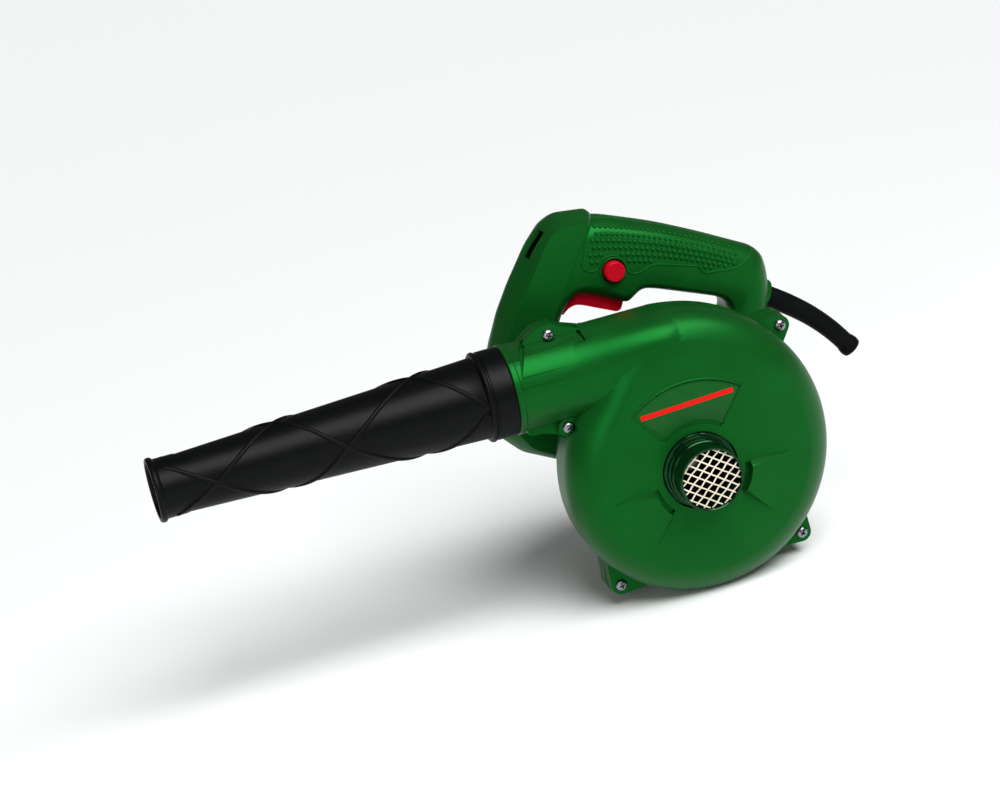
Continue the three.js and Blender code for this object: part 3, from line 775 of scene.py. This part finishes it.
def label_rim():
    """The bead round the label's outer arc and both its ends."""
    line = [(r, 52.0) for r in (34, 42, 50, 56, 58.2)]
    line += [(59.0, 52.0 + 76 * k / 40) for k in range(41)]
    line += [(r, 128.0) for r in (58.2, 56, 50, 42, 34)]
    points = []
    for r, angle in line:
        turn = math.radians(angle)
        points.append(Vector((r * math.cos(turn), FACE_Y, r * math.sin(turn))))
    return sweep(points, 0.85, 10)


finish_piece(label_plate(), "housing", "label_green", LABEL_FILM, "label_plate")
rim = body_of_mesh("label_rim", label_rim())
finish_piece(rim, "housing", "case_green", ABS_GREEN)

# ---- intake collar and its mesh ----


def intake_collar():
    """A stepped collar that stands out of the face and holds the mesh."""
    profile = [
        (19, -31.5), (31, -31.5), (31, -34.0), (24.3, -34.0), (24.3, -36.4), (23.6, -37.2), (22.6, -37.4),
        (22.6, -40.6), (22.2, -41.2), (21.5, -41.4), (21.5, -45.2), (21.1, -45.8), (20.7, -46), (20.7, -58.6),
        (20.3, -59.2), (19.6, -59.3), (19.1, -58.9), (19, -58.2),
    ]
    return body_of_mesh("intake_collar", turned(profile, 128))


# The collar's near-black colour is painted shade of the intake recess.
finish_piece(intake_collar(), "housing", "collar_green", ABS_COLLAR_PAINTED_SHADE, "intake_collar", sharp=30)


WIRE_PITCH = 4.95
WIRE_R = 0.5
WIRE_WAVE = 0.42  # how far a wire swings over and under the wires that it crosses
MESH_R = 18.9
MESH_Y = -57.0
WIRE_ANGLES = (-36.4, 41.2)


def intake_mesh():
    """Two sets of wires at a skew, woven over and under each other."""
    skew = math.radians(WIRE_ANGLES[1] - WIRE_ANGLES[0])
    wires = []
    for row, angle in enumerate(WIRE_ANGLES):
        along = Vector((math.cos(math.radians(angle)), 0, math.sin(math.radians(angle))))
        across = Vector((-along.z, 0, along.x))
        for i in range(-3, 5):
            offset = (i - 0.5) * WIRE_PITCH
            if abs(offset) > MESH_R - 1:
                continue
            half = math.sqrt(MESH_R**2 - offset**2)
            count = max(8, int(half * 2 / 0.9))
            points = []
            for k in range(count + 1):
                s = -half + 2 * half * k / count
                # The crossing wires are WIRE_PITCH / sin(skew) apart along this one.
                step = WIRE_PITCH / math.sin(skew)
                phase = (s - offset / math.tan(skew) * (1 if row == 0 else -1)) / step + 0.5
                lift = WIRE_WAVE * math.cos(math.pi * (phase + i + row))
                points.append(along * s + across * offset + Vector((0, MESH_Y + lift, 0)))
            wires.append(sweep(points, WIRE_R, 8))
    return body_of_mesh("intake_mesh", *wires)


finish_piece(intake_mesh(), "housing", "mesh_cream", WIRE, "intake_mesh", sharp=60)

# ---- nozzle ----

# Turn of the spiral ribs along the tube: (x, degrees from the front).
RIB_TURNS = [(-120, 0), (-161, 90), (-212, 180), (-250, 270), (-294, 360), (-338, 450)]


def rib_turn(x):
    """Degrees that a rib has turned by this place along the tube."""
    for (x0, a0), (x1, a1) in zip(RIB_TURNS, RIB_TURNS[1:]):
        if x >= x1:
            return a0 + (a1 - a0) * (x - x0) / (x1 - x0)
    return RIB_TURNS[-1][1]


TUBE_FROM, TUBE_FROM_R = 122, 26.05
TUBE_TO, TUBE_TO_R = 310, 18.45
RIB_R = 1.5
RIB_SUNK = 0.35  # how far a rib's middle lies under the skin


def nozzle_radius(d):
    """Outer radius of the tapered body at a distance d towards the tip."""
    return TUBE_FROM_R - (d - TUBE_FROM) * (TUBE_FROM_R - TUBE_TO_R) / (TUBE_TO - TUBE_FROM)


def nozzle():
    """A tapered tube with a socket for the spigot, a rolled lip and crossing spiral ribs."""
    profile = [
        (24.9, 103.3), (28.0, 103.3), (28.4, 103.7), (28.4, 116.2), (27.9, 116.7), (27.9, 117.6),
        (28.6, 118.1), (29.0, 119), (28.7, 120.2), (27.6, 121), (26.4, 121.4), (TUBE_FROM_R, TUBE_FROM),
        (TUBE_TO_R, TUBE_TO), (18.35, 312), (18.8, 314.5), (18.9, 326.4), (19.6, 327.2), (20.3, 327.8),
        (20.5, 329.0), (20.3, 330.4), (19.6, 331.2), (18.6, 331.3), (17.8, 331.0), (17.4, 330.2),
        (17.3, 328.5), (17.0, 300), (22.4, 134), (24.9, 132),
    ]
    obj = body_of_mesh("nozzle_tube", turned(profile, 160, "-X", (0, 0, OUTLET_Z)))
    ribs = []
    for hand in (1, -1):
        for offset in (0, 180):
            points = []
            count = 150
            for k in range(count + 1):
                x = -321 + (321 - 122.5) * k / count
                angle = math.radians(hand * rib_turn(x) + offset)
                r = nozzle_radius(-x) - RIB_SUNK if x > -TUBE_TO - 1 else TUBE_TO_R - 0.05
                points.append(Vector((x, -r * math.cos(angle), OUTLET_Z + r * math.sin(angle))))
            ribs.append(sweep(points, RIB_R, 10))
    return shape(obj, *[("UNION", rib) for rib in ribs])


finish_piece(nozzle(), "nozzle_tube", "nozzle_black", PP_BLACK, "nozzle", sharp=40)

# ---- screws ----


# Dome, rim, shank and tip as (radius, height), in head radii.
PAN_PROFILE = [
    (0, 0.62), (0.35, 0.6), (0.65, 0.5), (0.88, 0.32), (1, 0.1), (1, 0), (0.45, 0), (0.45, -2.2),
    (0.3, -2.6), (0, -2.6),
]


def pan_screw(name, at, seat, side, head, turn):
    """A pan head with a cross recess, standing towards side (-1 or 1) along Y."""
    profile = [(r * head, side * d * head) for r, d in PAN_PROFILE]
    obj = body_of_mesh(name, turned(profile, 48))
    arms = []
    for k in range(2):
        half, deep = 0.72 * head, 0.8 * head
        arm = block((-half, -deep, -0.19 * head), (half, deep, 0.19 * head))
        for vert in arm.verts:
            if vert.co.y * side < 0:
                vert.co.x *= 0.35
                vert.co.z *= 0.5
        bmesh.ops.translate(arm, verts=arm.verts, vec=(0, side * 0.62 * head, 0))
        bmesh.ops.rotate(arm, verts=arm.verts, matrix=Matrix.Rotation(math.radians(turn + 90 * k), 3, "Y"))
        arms.append(("DIFFERENCE", arm))
    shape(obj, *arms)
    obj.data.transform(Matrix.Translation((at[0], seat, at[1])))
    return obj


for index, (name, at) in enumerate(SCREWS.items()):
    obj = pan_screw(name + "_zinc", at, seat_of(name) - 0.1, -1, CASE_HEAD, 20 + 37 * index)
    finish_piece(obj, "housing", "screw_steel", ZINC, name, sharp=35)

# ---- handle ----

NEAR_Y, SPLIT_Y = 37.0, 55.0  # near face and the plane between the two halves

# Closed outline of grip, rear leg and lower body at the split plane, and at the near face.
GRIP_MID = [
    (-60, 40), (-62, 110), (-40, 150), (-13.9, 153.9), (26.4, 137.2), (62.6, 118.6), (86.5, 105.4),
    (91.8, 98.8), (93, 89), (92.2, 77), (89, 62), (79.5, 46), (56, 12), (30, -30), (-34, -26),
    (-66, -1),
]
GRIP_NEAR = [
    (-55, 40), (-56, 106), (-40, 134), (-21.3, 138.6), (19, 122.5), (55.2, 104.3), (75, 93.5),
    (78.5, 89.5), (79.5, 84), (79, 75), (76.5, 64.5), (70, 52), (49, 16), (26, -22), (-30, -19),
    (-60, 3),
]
GAP_MID = [
    (-58, 60), (-53, 86), (-47, 97.5), (-40, 104.7), (-34, 107), (-23, 102.2), (-6, 93.6), (-3, 93),
    (7.5, 99.2), (15.6, 96.9), (54, 81), (59.5, 77.5), (61, 71), (50, 56), (0, 50.5), (-48, 55),
]
GAP_NEAR = [
    (-62, 57), (-59, 90), (-53, 103), (-45, 111.5), (-34, 115), (-20, 112.5), (-9, 102.5), (-3, 101.2),
    (6, 105.3), (17, 102), (55, 85.5), (62, 81), (66, 71), (54, 51), (0, 46), (-52, 50),
]
POST_MID = [
    (-104.5, 40), (-104.2, 62), (-98.4, 83), (-87.3, 106.4), (-76.2, 123.6), (-60.3, 144.7),
    (-47.8, 156.1), (-37.4, 160.6), (-16.4, 157.8), (-13.4, 153), (-24, 138), (-52, 96), (-58, 70),
    (-58, 20), (-66, 0), (-90, 13), (-102.5, 27),
]
POST_NEAR = [
    (-94, 42), (-93.5, 63), (-89.6, 90), (-80.0, 104.2), (-68.4, 120.8), (-53.6, 142.2), (-45.6, 151.6),
    (-37.5, 155), (-22.5, 153.4), (-20.6, 150.6), (-29, 138.5), (-56, 96.5), (-60, 70), (-60, 22),
    (-67, 7), (-86, 18), (-93, 30),
]


def between(near, mid, near_y, depth, rounding, steps=8, radius=6):
    """Rings from the near outline to the split plane and on to the far face, which mirrors the near one."""
    near = rounded(near, radius)
    mid = rounded(mid, radius)
    half = []
    for k in range(steps + 1):
        t = k / steps
        out = rounding * math.sin(t * math.pi / 2) + (1 - rounding) * t
        back = rounding * (1 - math.cos(t * math.pi / 2)) + (1 - rounding) * t
        flat = [n.lerp(m, out) for n, m in zip(near, mid)]
        half.append([(p.x, near_y + depth * back, p.y) for p in flat])
    other = [[(x, 2 * SPLIT_Y - y, z) for x, y, z in ring] for ring in reversed(half)]
    return half + other


def outline_solid(near, mid, near_y, depth, rounding, radius=6):
    return skin(between(near, mid, near_y, depth, rounding, radius=radius))


def gap_tool(near, mid, near_y, depth, radius=6):
    """The finger gap: it flares towards both faces."""
    half = []
    near = rounded(near, radius)
    mid = rounded(mid, radius)
    half.append([(n.x, near_y - 20, n.y) for n in near])
    for k in range(9):
        bend = math.pi / 2 * k / 8
        flat = [n.lerp(m, math.sin(bend)) for n, m in zip(near, mid)]
        half.append([(p.x, near_y + depth * (1 - math.cos(bend)), p.y) for p in flat])
    other = [[(x, 2 * SPLIT_Y - y, z) for x, y, z in ring] for ring in reversed(half)]
    return skin(half + other)


def shrunk(outline, amount):
    """Each point moved inwards by amount along the mean of its two sides' normals."""
    out = []
    count = len(outline)
    points = [Vector(p) for p in outline]
    area = sum(points[i - 1].cross(points[i]) for i in range(count))
    sign = 1 if area > 0 else -1
    for i, here in enumerate(points):
        before = (here - points[i - 1]).normalized()
        after = (points[(i + 1) % count] - here).normalized()
        normal = Vector((-before.y - after.y, before.x + after.x)).normalized() * sign
        spread = max(0.5, math.sqrt(max(0.0, (1 + before.dot(after)) / 2)))
        out.append(here + normal * amount / spread)
    return out


def along_guard(x):
    """A point on the first straight stretch of the cord guard."""
    (x0, z0), (x1, z1) = GUARD_LINE[0], GUARD_LINE[2]
    return Vector((x, SPLIT_Y, z0 + (z1 - z0) * (x - x0) / (x1 - x0)))


BARREL_R = 46
BARREL_END = 118
GUARD_BOSS_X = (78, 88.4, 89.2, 89.5)
GUARD_BOSS_R = [11, 11, 10.7, 10]


def handle_outside():
    """Grip, front post, motor barrel, foot and the boss round the cord guard as one solid."""
    grip = outline_solid(GRIP_NEAR, GRIP_MID, NEAR_Y + 1.2, 15.5, 1.0, radius=9)
    obj = body_of_mesh("handle", grip)
    shape(obj, ("DIFFERENCE", gap_tool(GAP_NEAR, GAP_MID, NEAR_Y + 1.2, 12)))
    steps = [
        ("UNION", outline_solid(POST_NEAR, POST_MID, NEAR_Y, SPLIT_Y - NEAR_Y - 2, 0.25, radius=4)),
        ("UNION", rod((0, 0), BARREL_R, BACK_Y + 0.5, BARREL_END, 128)),
        ("UNION", foot(0)),
        ("UNION", sweep([along_guard(x) for x in GUARD_BOSS_X], GUARD_BOSS_R, 48)),
    ]
    return shape(obj, *steps)


def foot(inset):
    """The flat foot under the motor barrel, or with an inset the room inside it."""
    top, sole = 30 - inset, 36 - inset
    outline = [(-top, -20), (-sole, STAND_Z + inset), (sole, STAND_Z + inset), (top, -20)]
    return slab(outline, 62 + inset, 112 - inset)


GRIP_SCREWS = {
    "handle_screw_1": (-86, 45),
    "handle_screw_2": (-66, 112),
    "handle_screw_3": (-26, 146),
    "handle_screw_4": (72, 99),
    "handle_screw_5": (75, 61),
}
GRIP_SEAT_Y = 62.0
GRIP_HEAD_ROOM = 4.0
BUTTON_AT = (-10.6, 118.0)
GUARD_LINE = [(80, 75.5), (93.7, 67), (105.9, 58.2), (118.1, 47.7), (129.9, 34.9), (142, 18.5)]


def hollow(near, mid, near_y, depth, rounding, radius):
    """The room inside the wall of such a solid."""
    return outline_solid(shrunk(near, 2.2), shrunk(mid, WALL), near_y + WALL, depth, rounding, radius=radius)


STRAP_SLOT = [(-66, 142.1), (-53.5, 157.1), (-47.5, 151.9), (-60, 136.9)]
TRIGGER_WINDOW = [(-52, 88), (-3, 78), (-2.6, 100), (-10, 110), (-28, 121), (-46, 117)]
# Rings that hold the bearings: (inner radius, outer radius, from, to).
BEARING_SEATS = [(11.3, 14, 34, 43.3), (9.8, 13, 104.7, 117)]
SHAFT_HOLE_R = 6
BUTTON_HOLE_R = 7.9
GUARD_WAY_R = 7.6
VENTS = 12


def handle_shells():
    """The handle with its walls and openings, split into near and far halves."""
    solid = handle_outside()
    inner = body_of_mesh("inner", hollow(GRIP_NEAR, GRIP_MID, NEAR_Y + 1.2, 13, 1.0, 8))
    shape(
        inner,
        ("DIFFERENCE", gap_tool(shrunk(GAP_NEAR, -WALL), shrunk(GAP_MID, -WALL), NEAR_Y + 1.2 + WALL, 9.5)),
        ("UNION", hollow(POST_NEAR, POST_MID, NEAR_Y, 13.5, 0.25, 4)),
        ("UNION", rod((0, 0), BARREL_R - WALL, BACK_Y + 3, BARREL_END - WALL, 96)),
        ("UNION", foot(WALL)),
    )
    inner_bm = bmesh.new()
    inner_bm.from_mesh(inner.data)
    bpy.data.objects.remove(inner)
    steps = [("DIFFERENCE", inner_bm)]
    for inner_r, outer_r, y0, y1 in BEARING_SEATS:
        steps.append(("UNION", turned([(inner_r, y0), (outer_r, y0), (outer_r, y1), (inner_r, y1)], 48)))
    steps.append(("DIFFERENCE", rod((0, 0), SHAFT_HOLE_R, 25, 40, 32)))
    steps.append(("DIFFERENCE", rod(BUTTON_AT, BUTTON_HOLE_R, 20, 44, 64)))
    steps.append(("DIFFERENCE", slab(STRAP_SLOT, 44.6, 52.6)))
    steps.append(("DIFFERENCE", slab(TRIGGER_WINDOW, 45.6, 64.4)))
    for i in range(VENTS):
        vent = block((-1.6, 108, 19), (1.6, 122, 37))
        bmesh.ops.rotate(vent, verts=vent.verts, matrix=Matrix.Rotation(math.tau * i / VENTS, 3, "Y"))
        steps.append(("DIFFERENCE", vent))
    for at in GRIP_SCREWS.values():
        steps.append(("DIFFERENCE", rod(at, GRIP_HEAD_ROOM, GRIP_SEAT_Y, 90, 32)))
    way = [Vector((x, SPLIT_Y, z)) for x, z in [(70, 81.5), *GUARD_LINE[:3]]]
    steps.append(("DIFFERENCE", sweep(way, GUARD_WAY_R, 32)))
    shape(solid, *steps)
    halves = []
    for name, low, high in (("handle_near", 0, SPLIT_Y - SPLIT), ("handle_far", SPLIT_Y + SPLIT, 200)):
        half = bpy.data.objects.new(name, solid.data.copy())
        bpy.context.scene.collection.objects.link(half)
        shape(half, ("INTERSECT", block((-200, low, -200), (200, high, 300))))
        soften(half, 0.5)
        halves.append(half)
    bpy.data.objects.remove(solid)
    return halves


handle_near, handle_far = handle_shells()

# ---- grip panel: a fine bead round rows of raised dots, the same on both sides ----

# Drawn on the plane y = PANEL_Y and laid on the grip along the line of sight.
PANEL_Y = 38.0
PANEL = [
    (-18.0, 156.2), (0.1, 149.6), (25.2, 138.8), (50.1, 126.0), (74.9, 111.6), (81.3, 108.0),
    (79.3, 104.4), (75.4, 100.8), (70.4, 98.4), (64.6, 98.3), (58.3, 99.2), (49.5, 100.2),
    (46.8, 102.4), (44.8, 105.7), (41.9, 106.9), (19.1, 114.3), (14.0, 114.6), (7.2, 112.6),
    (2.2, 112.7), (-1.2, 115.0), (-2.2, 118.6), (-3.9, 123.6), (-8.7, 127.8), (-14.5, 127.4),
    (-18.6, 123.9), (-20.8, 121.6), (-25.1, 121.5), (-29.1, 123.9), (-30.1, 127.0), (-26.4, 136.7),
    (-20.1, 151.1),
]
DOT_ROWS = [
    ((-16.9, 149.6), (66.3, 113.5)),
    ((-18.5, 145.1), (64.7, 110.6)),
    ((-20.2, 140.9), (63.1, 107.9)),
    ((-21.8, 136.4), (61.6, 105.2)),
    ((-23.5, 131.9), (60.0, 102.5)),
    ((-25.2, 127.3), (58.5, 100.0)),
]
DOT_PITCH = 3.65
DOT_R = 1.4
DOT_FLATTEN = 0.75
ROW_BULGE = 3.2  # how far a row's middle lies above its chord
RING_ROOM = 11.5  # no dots this close to the button's ring
RING_CENTRE = (-11.0, 118.6)


def inside(point, outline):
    """Whether a point lies inside a closed outline."""
    count = 0
    for (x0, z0), (x1, z1) in zip(outline, outline[1:] + outline[:1]):
        if (z0 > point[1]) != (z1 > point[1]) and point[0] < x0 + (point[1] - z0) * (x1 - x0) / (z1 - z0):
            count += 1
    return count % 2 == 1


def laid_on(tree, x, z):
    """Where the line of sight through (x, PANEL_Y, z) meets the surface, and the surface's normal there."""
    sight = (Vector((x, PANEL_Y, z)) - CAMERA_AT).normalized()
    return tree.ray_cast(CAMERA_AT, sight)[:2]


def grip_panel():
    """Bead and dots laid on the near half, and their mirror copy for the far half."""
    grip = handle_near.data
    faces = [list(p.vertices) for p in grip.polygons]
    tree = BVHTree.FromPolygons([v.co.copy() for v in grip.vertices], faces)
    line = smooth_line([Vector((x, 0, z)) for x, z in [*PANEL, PANEL[0]]], 6)
    bead = [hit for hit in (laid_on(tree, p.x, p.z)[0] for p in line) if hit]
    parts = [sweep(bead, 0.5, 8)]
    room = [(p.x, p.y) for p in shrunk(PANEL, 2.0)]
    dots = bmesh.new()
    for row, (left, right) in enumerate(DOT_ROWS):
        left, right = Vector(left), Vector(right)
        count = int((right - left).length / DOT_PITCH) + 3
        for k in range(count):
            share = (k + (0.5 if row % 2 else 0)) * DOT_PITCH / (right - left).length
            spot = left + (right - left) * share + Vector((0, 4 * ROW_BULGE * share * (1 - share)))
            if not inside(spot, room) or (spot - Vector(RING_CENTRE)).length < RING_ROOM:
                continue
            hit, normal = laid_on(tree, spot.x, spot.y)
            if hit:
                place = Matrix.Translation(hit) @ normal.to_track_quat("Z", "Y").to_matrix().to_4x4()
                place = place @ Matrix.Diagonal((1, 1, DOT_FLATTEN, 1))
                bmesh.ops.create_uvsphere(dots, u_segments=12, v_segments=8, radius=DOT_R, matrix=place)
    parts.append(dots)
    near = body_of_mesh("grip_panel_near", *parts)
    far = body_of_mesh("grip_panel_far")
    far.data = near.data.copy()
    far.data.transform(Matrix.Translation((0, 2 * SPLIT_Y, 0)) @ Matrix.Scale(-1, 4, (0, 1, 0)))
    far.data.flip_normals()
    return near, far


def button_ring():
    """The raised ring in the near half that the button sits in."""
    r = BUTTON_HOLE_R
    profile = [(r, 39), (r, 37.6), (r + 0.3, 37.2), (r + 0.9, 37.2), (r + 1.2, 37.6), (r + 1.2, 39)]
    return body_of_mesh("button_ring", turned(profile, 64, centre=(BUTTON_AT[0], 0, BUTTON_AT[1])))


for panel in (*grip_panel(), button_ring()):
    finish_piece(panel, "housing", "case_green", ABS_GREEN, sharp=60)
finish_piece(handle_near, "housing", "case_green", ABS_GREEN, "handle_half_near")
finish_piece(handle_far, "housing", "case_green", ABS_GREEN, "handle_half_far")

# ---- trigger and lock button ----

TRIGGER = [
    (-46.9, 95.6), (-42.2, 99.2), (-37, 100.4), (-32, 98.6), (-23.9, 94.6), (-11.2, 88.5), (-8.2, 89.4),
    (-6, 94), (-12, 103), (-34, 114.5), (-41, 113.8), (-44, 104.5),
]


def trigger():
    """The finger lever, drilled for its pin."""
    outline = rounded(TRIGGER, [1, 3, 3, 3, 3, 2, 1.5, 1, 4, 3, 3, 1], per=5)
    obj = body_of_mesh("trigger_lever", slab([tuple(p) for p in outline], 47.2, 62.8))
    shape(obj, ("DIFFERENCE", rod((-38, 110.5), 1.8, 30, 80, 24)))
    return soften(obj, 1.2, 4)


# The trigger's lighter red is painted light against the handle's shade.
finish_piece(trigger(), "trigger_lever", "trigger_red", ABS_RED_PAINTED_LIGHT, "trigger", sharp=50)


SPRING_X = -20.0


def trigger_coil():
    """The trigger's return spring, drawn with open turns as at rest."""
    low, high, turns, radius, wire = 110.2, 114.4, 4, 1.95, 0.4
    count = turns * 16
    line = []
    for k in range(count + 1):
        angle = math.tau * k / 16
        around = Vector((radius * math.cos(angle), radius * math.sin(angle), low + (high - low) * k / count))
        line.append(around + Vector((SPRING_X, SPLIT_Y, 0)))
    return body_of_mesh("trigger_coil", sweep(line, wire, 8))


coil = finish_piece(trigger_coil(), "housing", "spring_steel", SPRING, "trigger_spring", sharp=60)
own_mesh(coil)


def lock_button():
    """A shallow round cap on a stem."""
    profile = [
        (0, 33.9), (4.6, 33.7), (5.9, 33.6), (6.5, 34), (6.9, 34.9), (6.9, 40.5), (2, 40.5), (2, 44.8),
        (0, 44.8),
    ]
    return body_of_mesh("lock_knob", turned(profile, 64, centre=(BUTTON_AT[0], 0, BUTTON_AT[1])))


finish_piece(lock_button(), "lock_plunger", "button_red", ABS_BUTTON, "lock_button")

# ---- cord guard ----


def cord_guard():
    """A curved sleeve that tapers to a small end bead, with the cord's way through it."""
    line = smooth_line([Vector((x, SPLIT_Y, z)) for x, z in GUARD_LINE])
    total = len(line) - 1
    radii = []
    for i in range(total + 1):
        t = i / total
        r = 7.3 - 1.15 * t
        if t > 0.93:
            r += 1.0 * math.sin(math.pi * min(1, (t - 0.93) / 0.07 * 0.75))
        radii.append(r)
    obj = body_of_mesh("cord_sleeve", sweep(line, radii, 40))
    bore = [line[0] * 2 - line[1], *line, line[-1] * 2 - line[-2]]
    shape(obj, ("DIFFERENCE", sweep(bore, 3.8, 24)))
    return soften(obj, 0.5, 3)


finish_piece(cord_guard(), "housing", "guard_black", PVC_BLACK, "cord_guard")

for index, (name, at) in enumerate(GRIP_SCREWS.items()):
    obj = pan_screw(name + "_zinc", at, GRIP_SEAT_Y + 0.3, 1, GRIP_HEAD, 15 + 41 * index)
    finish_piece(obj, "housing", "screw_steel", ZINC, name, sharp=35)

# ---- inner pieces keep their solid shape and get their finish ----

INNER = {
    "fan_wheel": NYLON_GREY, "cooling_fan": NYLON_GREY, "fan_washer": ZINC, "fan_nut": ZINC,
    "motor_shaft": STEEL, "armature_core": IRON, "stator_core": IRON, "armature_winding_front": COPPER,
    "armature_winding_rear": COPPER, "field_coil_front": COPPER, "field_coil_rear": COPPER,
    "commutator": COPPER, "bearing_front": STEEL, "bearing_rear": STEEL, "brush_holder_front": BRASS,
    "brush_holder_rear": BRASS, "carbon_brush_front": CARBON, "carbon_brush_rear": CARBON,
    "brush_spring_front": SPRING, "brush_spring_rear": SPRING, "brush_cap_front": PHENOLIC,
    "brush_cap_rear": PHENOLIC, "trigger_pin": STEEL, "switch_body": PHENOLIC, "lock_spring": SPRING,
    "capacitor": EPOXY, "cord_clamp": PHENOLIC, "clamp_screw_1": ZINC, "clamp_screw_2": ZINC,
    "housing_screw_1": ZINC, "housing_screw_2": ZINC, "housing_screw_3": ZINC,
}
for node, material in INNER.items():
    obj = frame["nodes"][node]
    obj.data.materials.clear()
    obj.data.materials.append(material)

# ---- floor and light ----

FLOOR_HALF = 30  # metres, so that it fills the ground of a low view


def floor():
    bm = bmesh.new()
    bmesh.ops.create_grid(bm, x_segments=1, y_segments=1, size=FLOOR_HALF)
    mesh = bpy.data.meshes.new("floor")
    bm.to_mesh(mesh)
    bm.free()
    obj = bpy.data.objects.new("floor", mesh)
    bpy.context.scene.collection.objects.link(obj)
    material, tree = new_material("pale_floor")
    shader = add_node(tree, "ShaderNodeBsdfPrincipled", {"Base Color": linear("fafcfc"), "Roughness": 0.9})
    add_node(tree, "ShaderNodeOutputMaterial", links={"Surface": (shader, "BSDF")})
    mesh.materials.append(material)


def area_light(name, at, target, power, size):
    """A soft box that faces its target."""
    data = bpy.data.lights.new(name, "AREA")
    data.energy = power
    data.shape = "RECTANGLE"
    data.size, data.size_y = size
    obj = bpy.data.objects.new(name, data)
    bpy.context.scene.collection.objects.link(obj)
    at, target = Vector(at), Vector(target)
    obj.location = at
    obj.rotation_euler = (target - at).to_track_quat("-Z", "Y").to_euler()


def sun(name, towards, strength, angle):
    """A far light whose disc spans angle degrees."""
    data = bpy.data.lights.new(name, "SUN")
    data.energy = strength
    data.angle = math.radians(angle)
    obj = bpy.data.objects.new(name, data)
    bpy.context.scene.collection.objects.link(obj)
    obj.rotation_euler = Vector(towards).to_track_quat("-Z", "Y").to_euler()


def world(colour, strength):
    """An even dim light from all round."""
    made = bpy.data.worlds.new("studio")
    made.use_nodes = True
    tree = made.node_tree
    tree.nodes.clear()
    back = add_node(tree, "ShaderNodeBackground", {"Color": linear(colour), "Strength": strength})
    add_node(tree, "ShaderNodeOutputWorld", links={"Surface": (back, "Background")})
    bpy.context.scene.world = made


floor()
world("ffffff", 0.12)
sun("key", (-0.16, 0.56, -0.81), 3.25, 42)
area_light("right", (0.58, -0.33, 0.80), (0.1, 0, 0.16), 1.7, (0.26, 0.26))
area_light("left", (-1.3, -1.9, 0.85), (0.0, 0, 0.12), 9, (0.6, 0.9))
bpy.context.scene.view_settings.view_transform = "Standard"
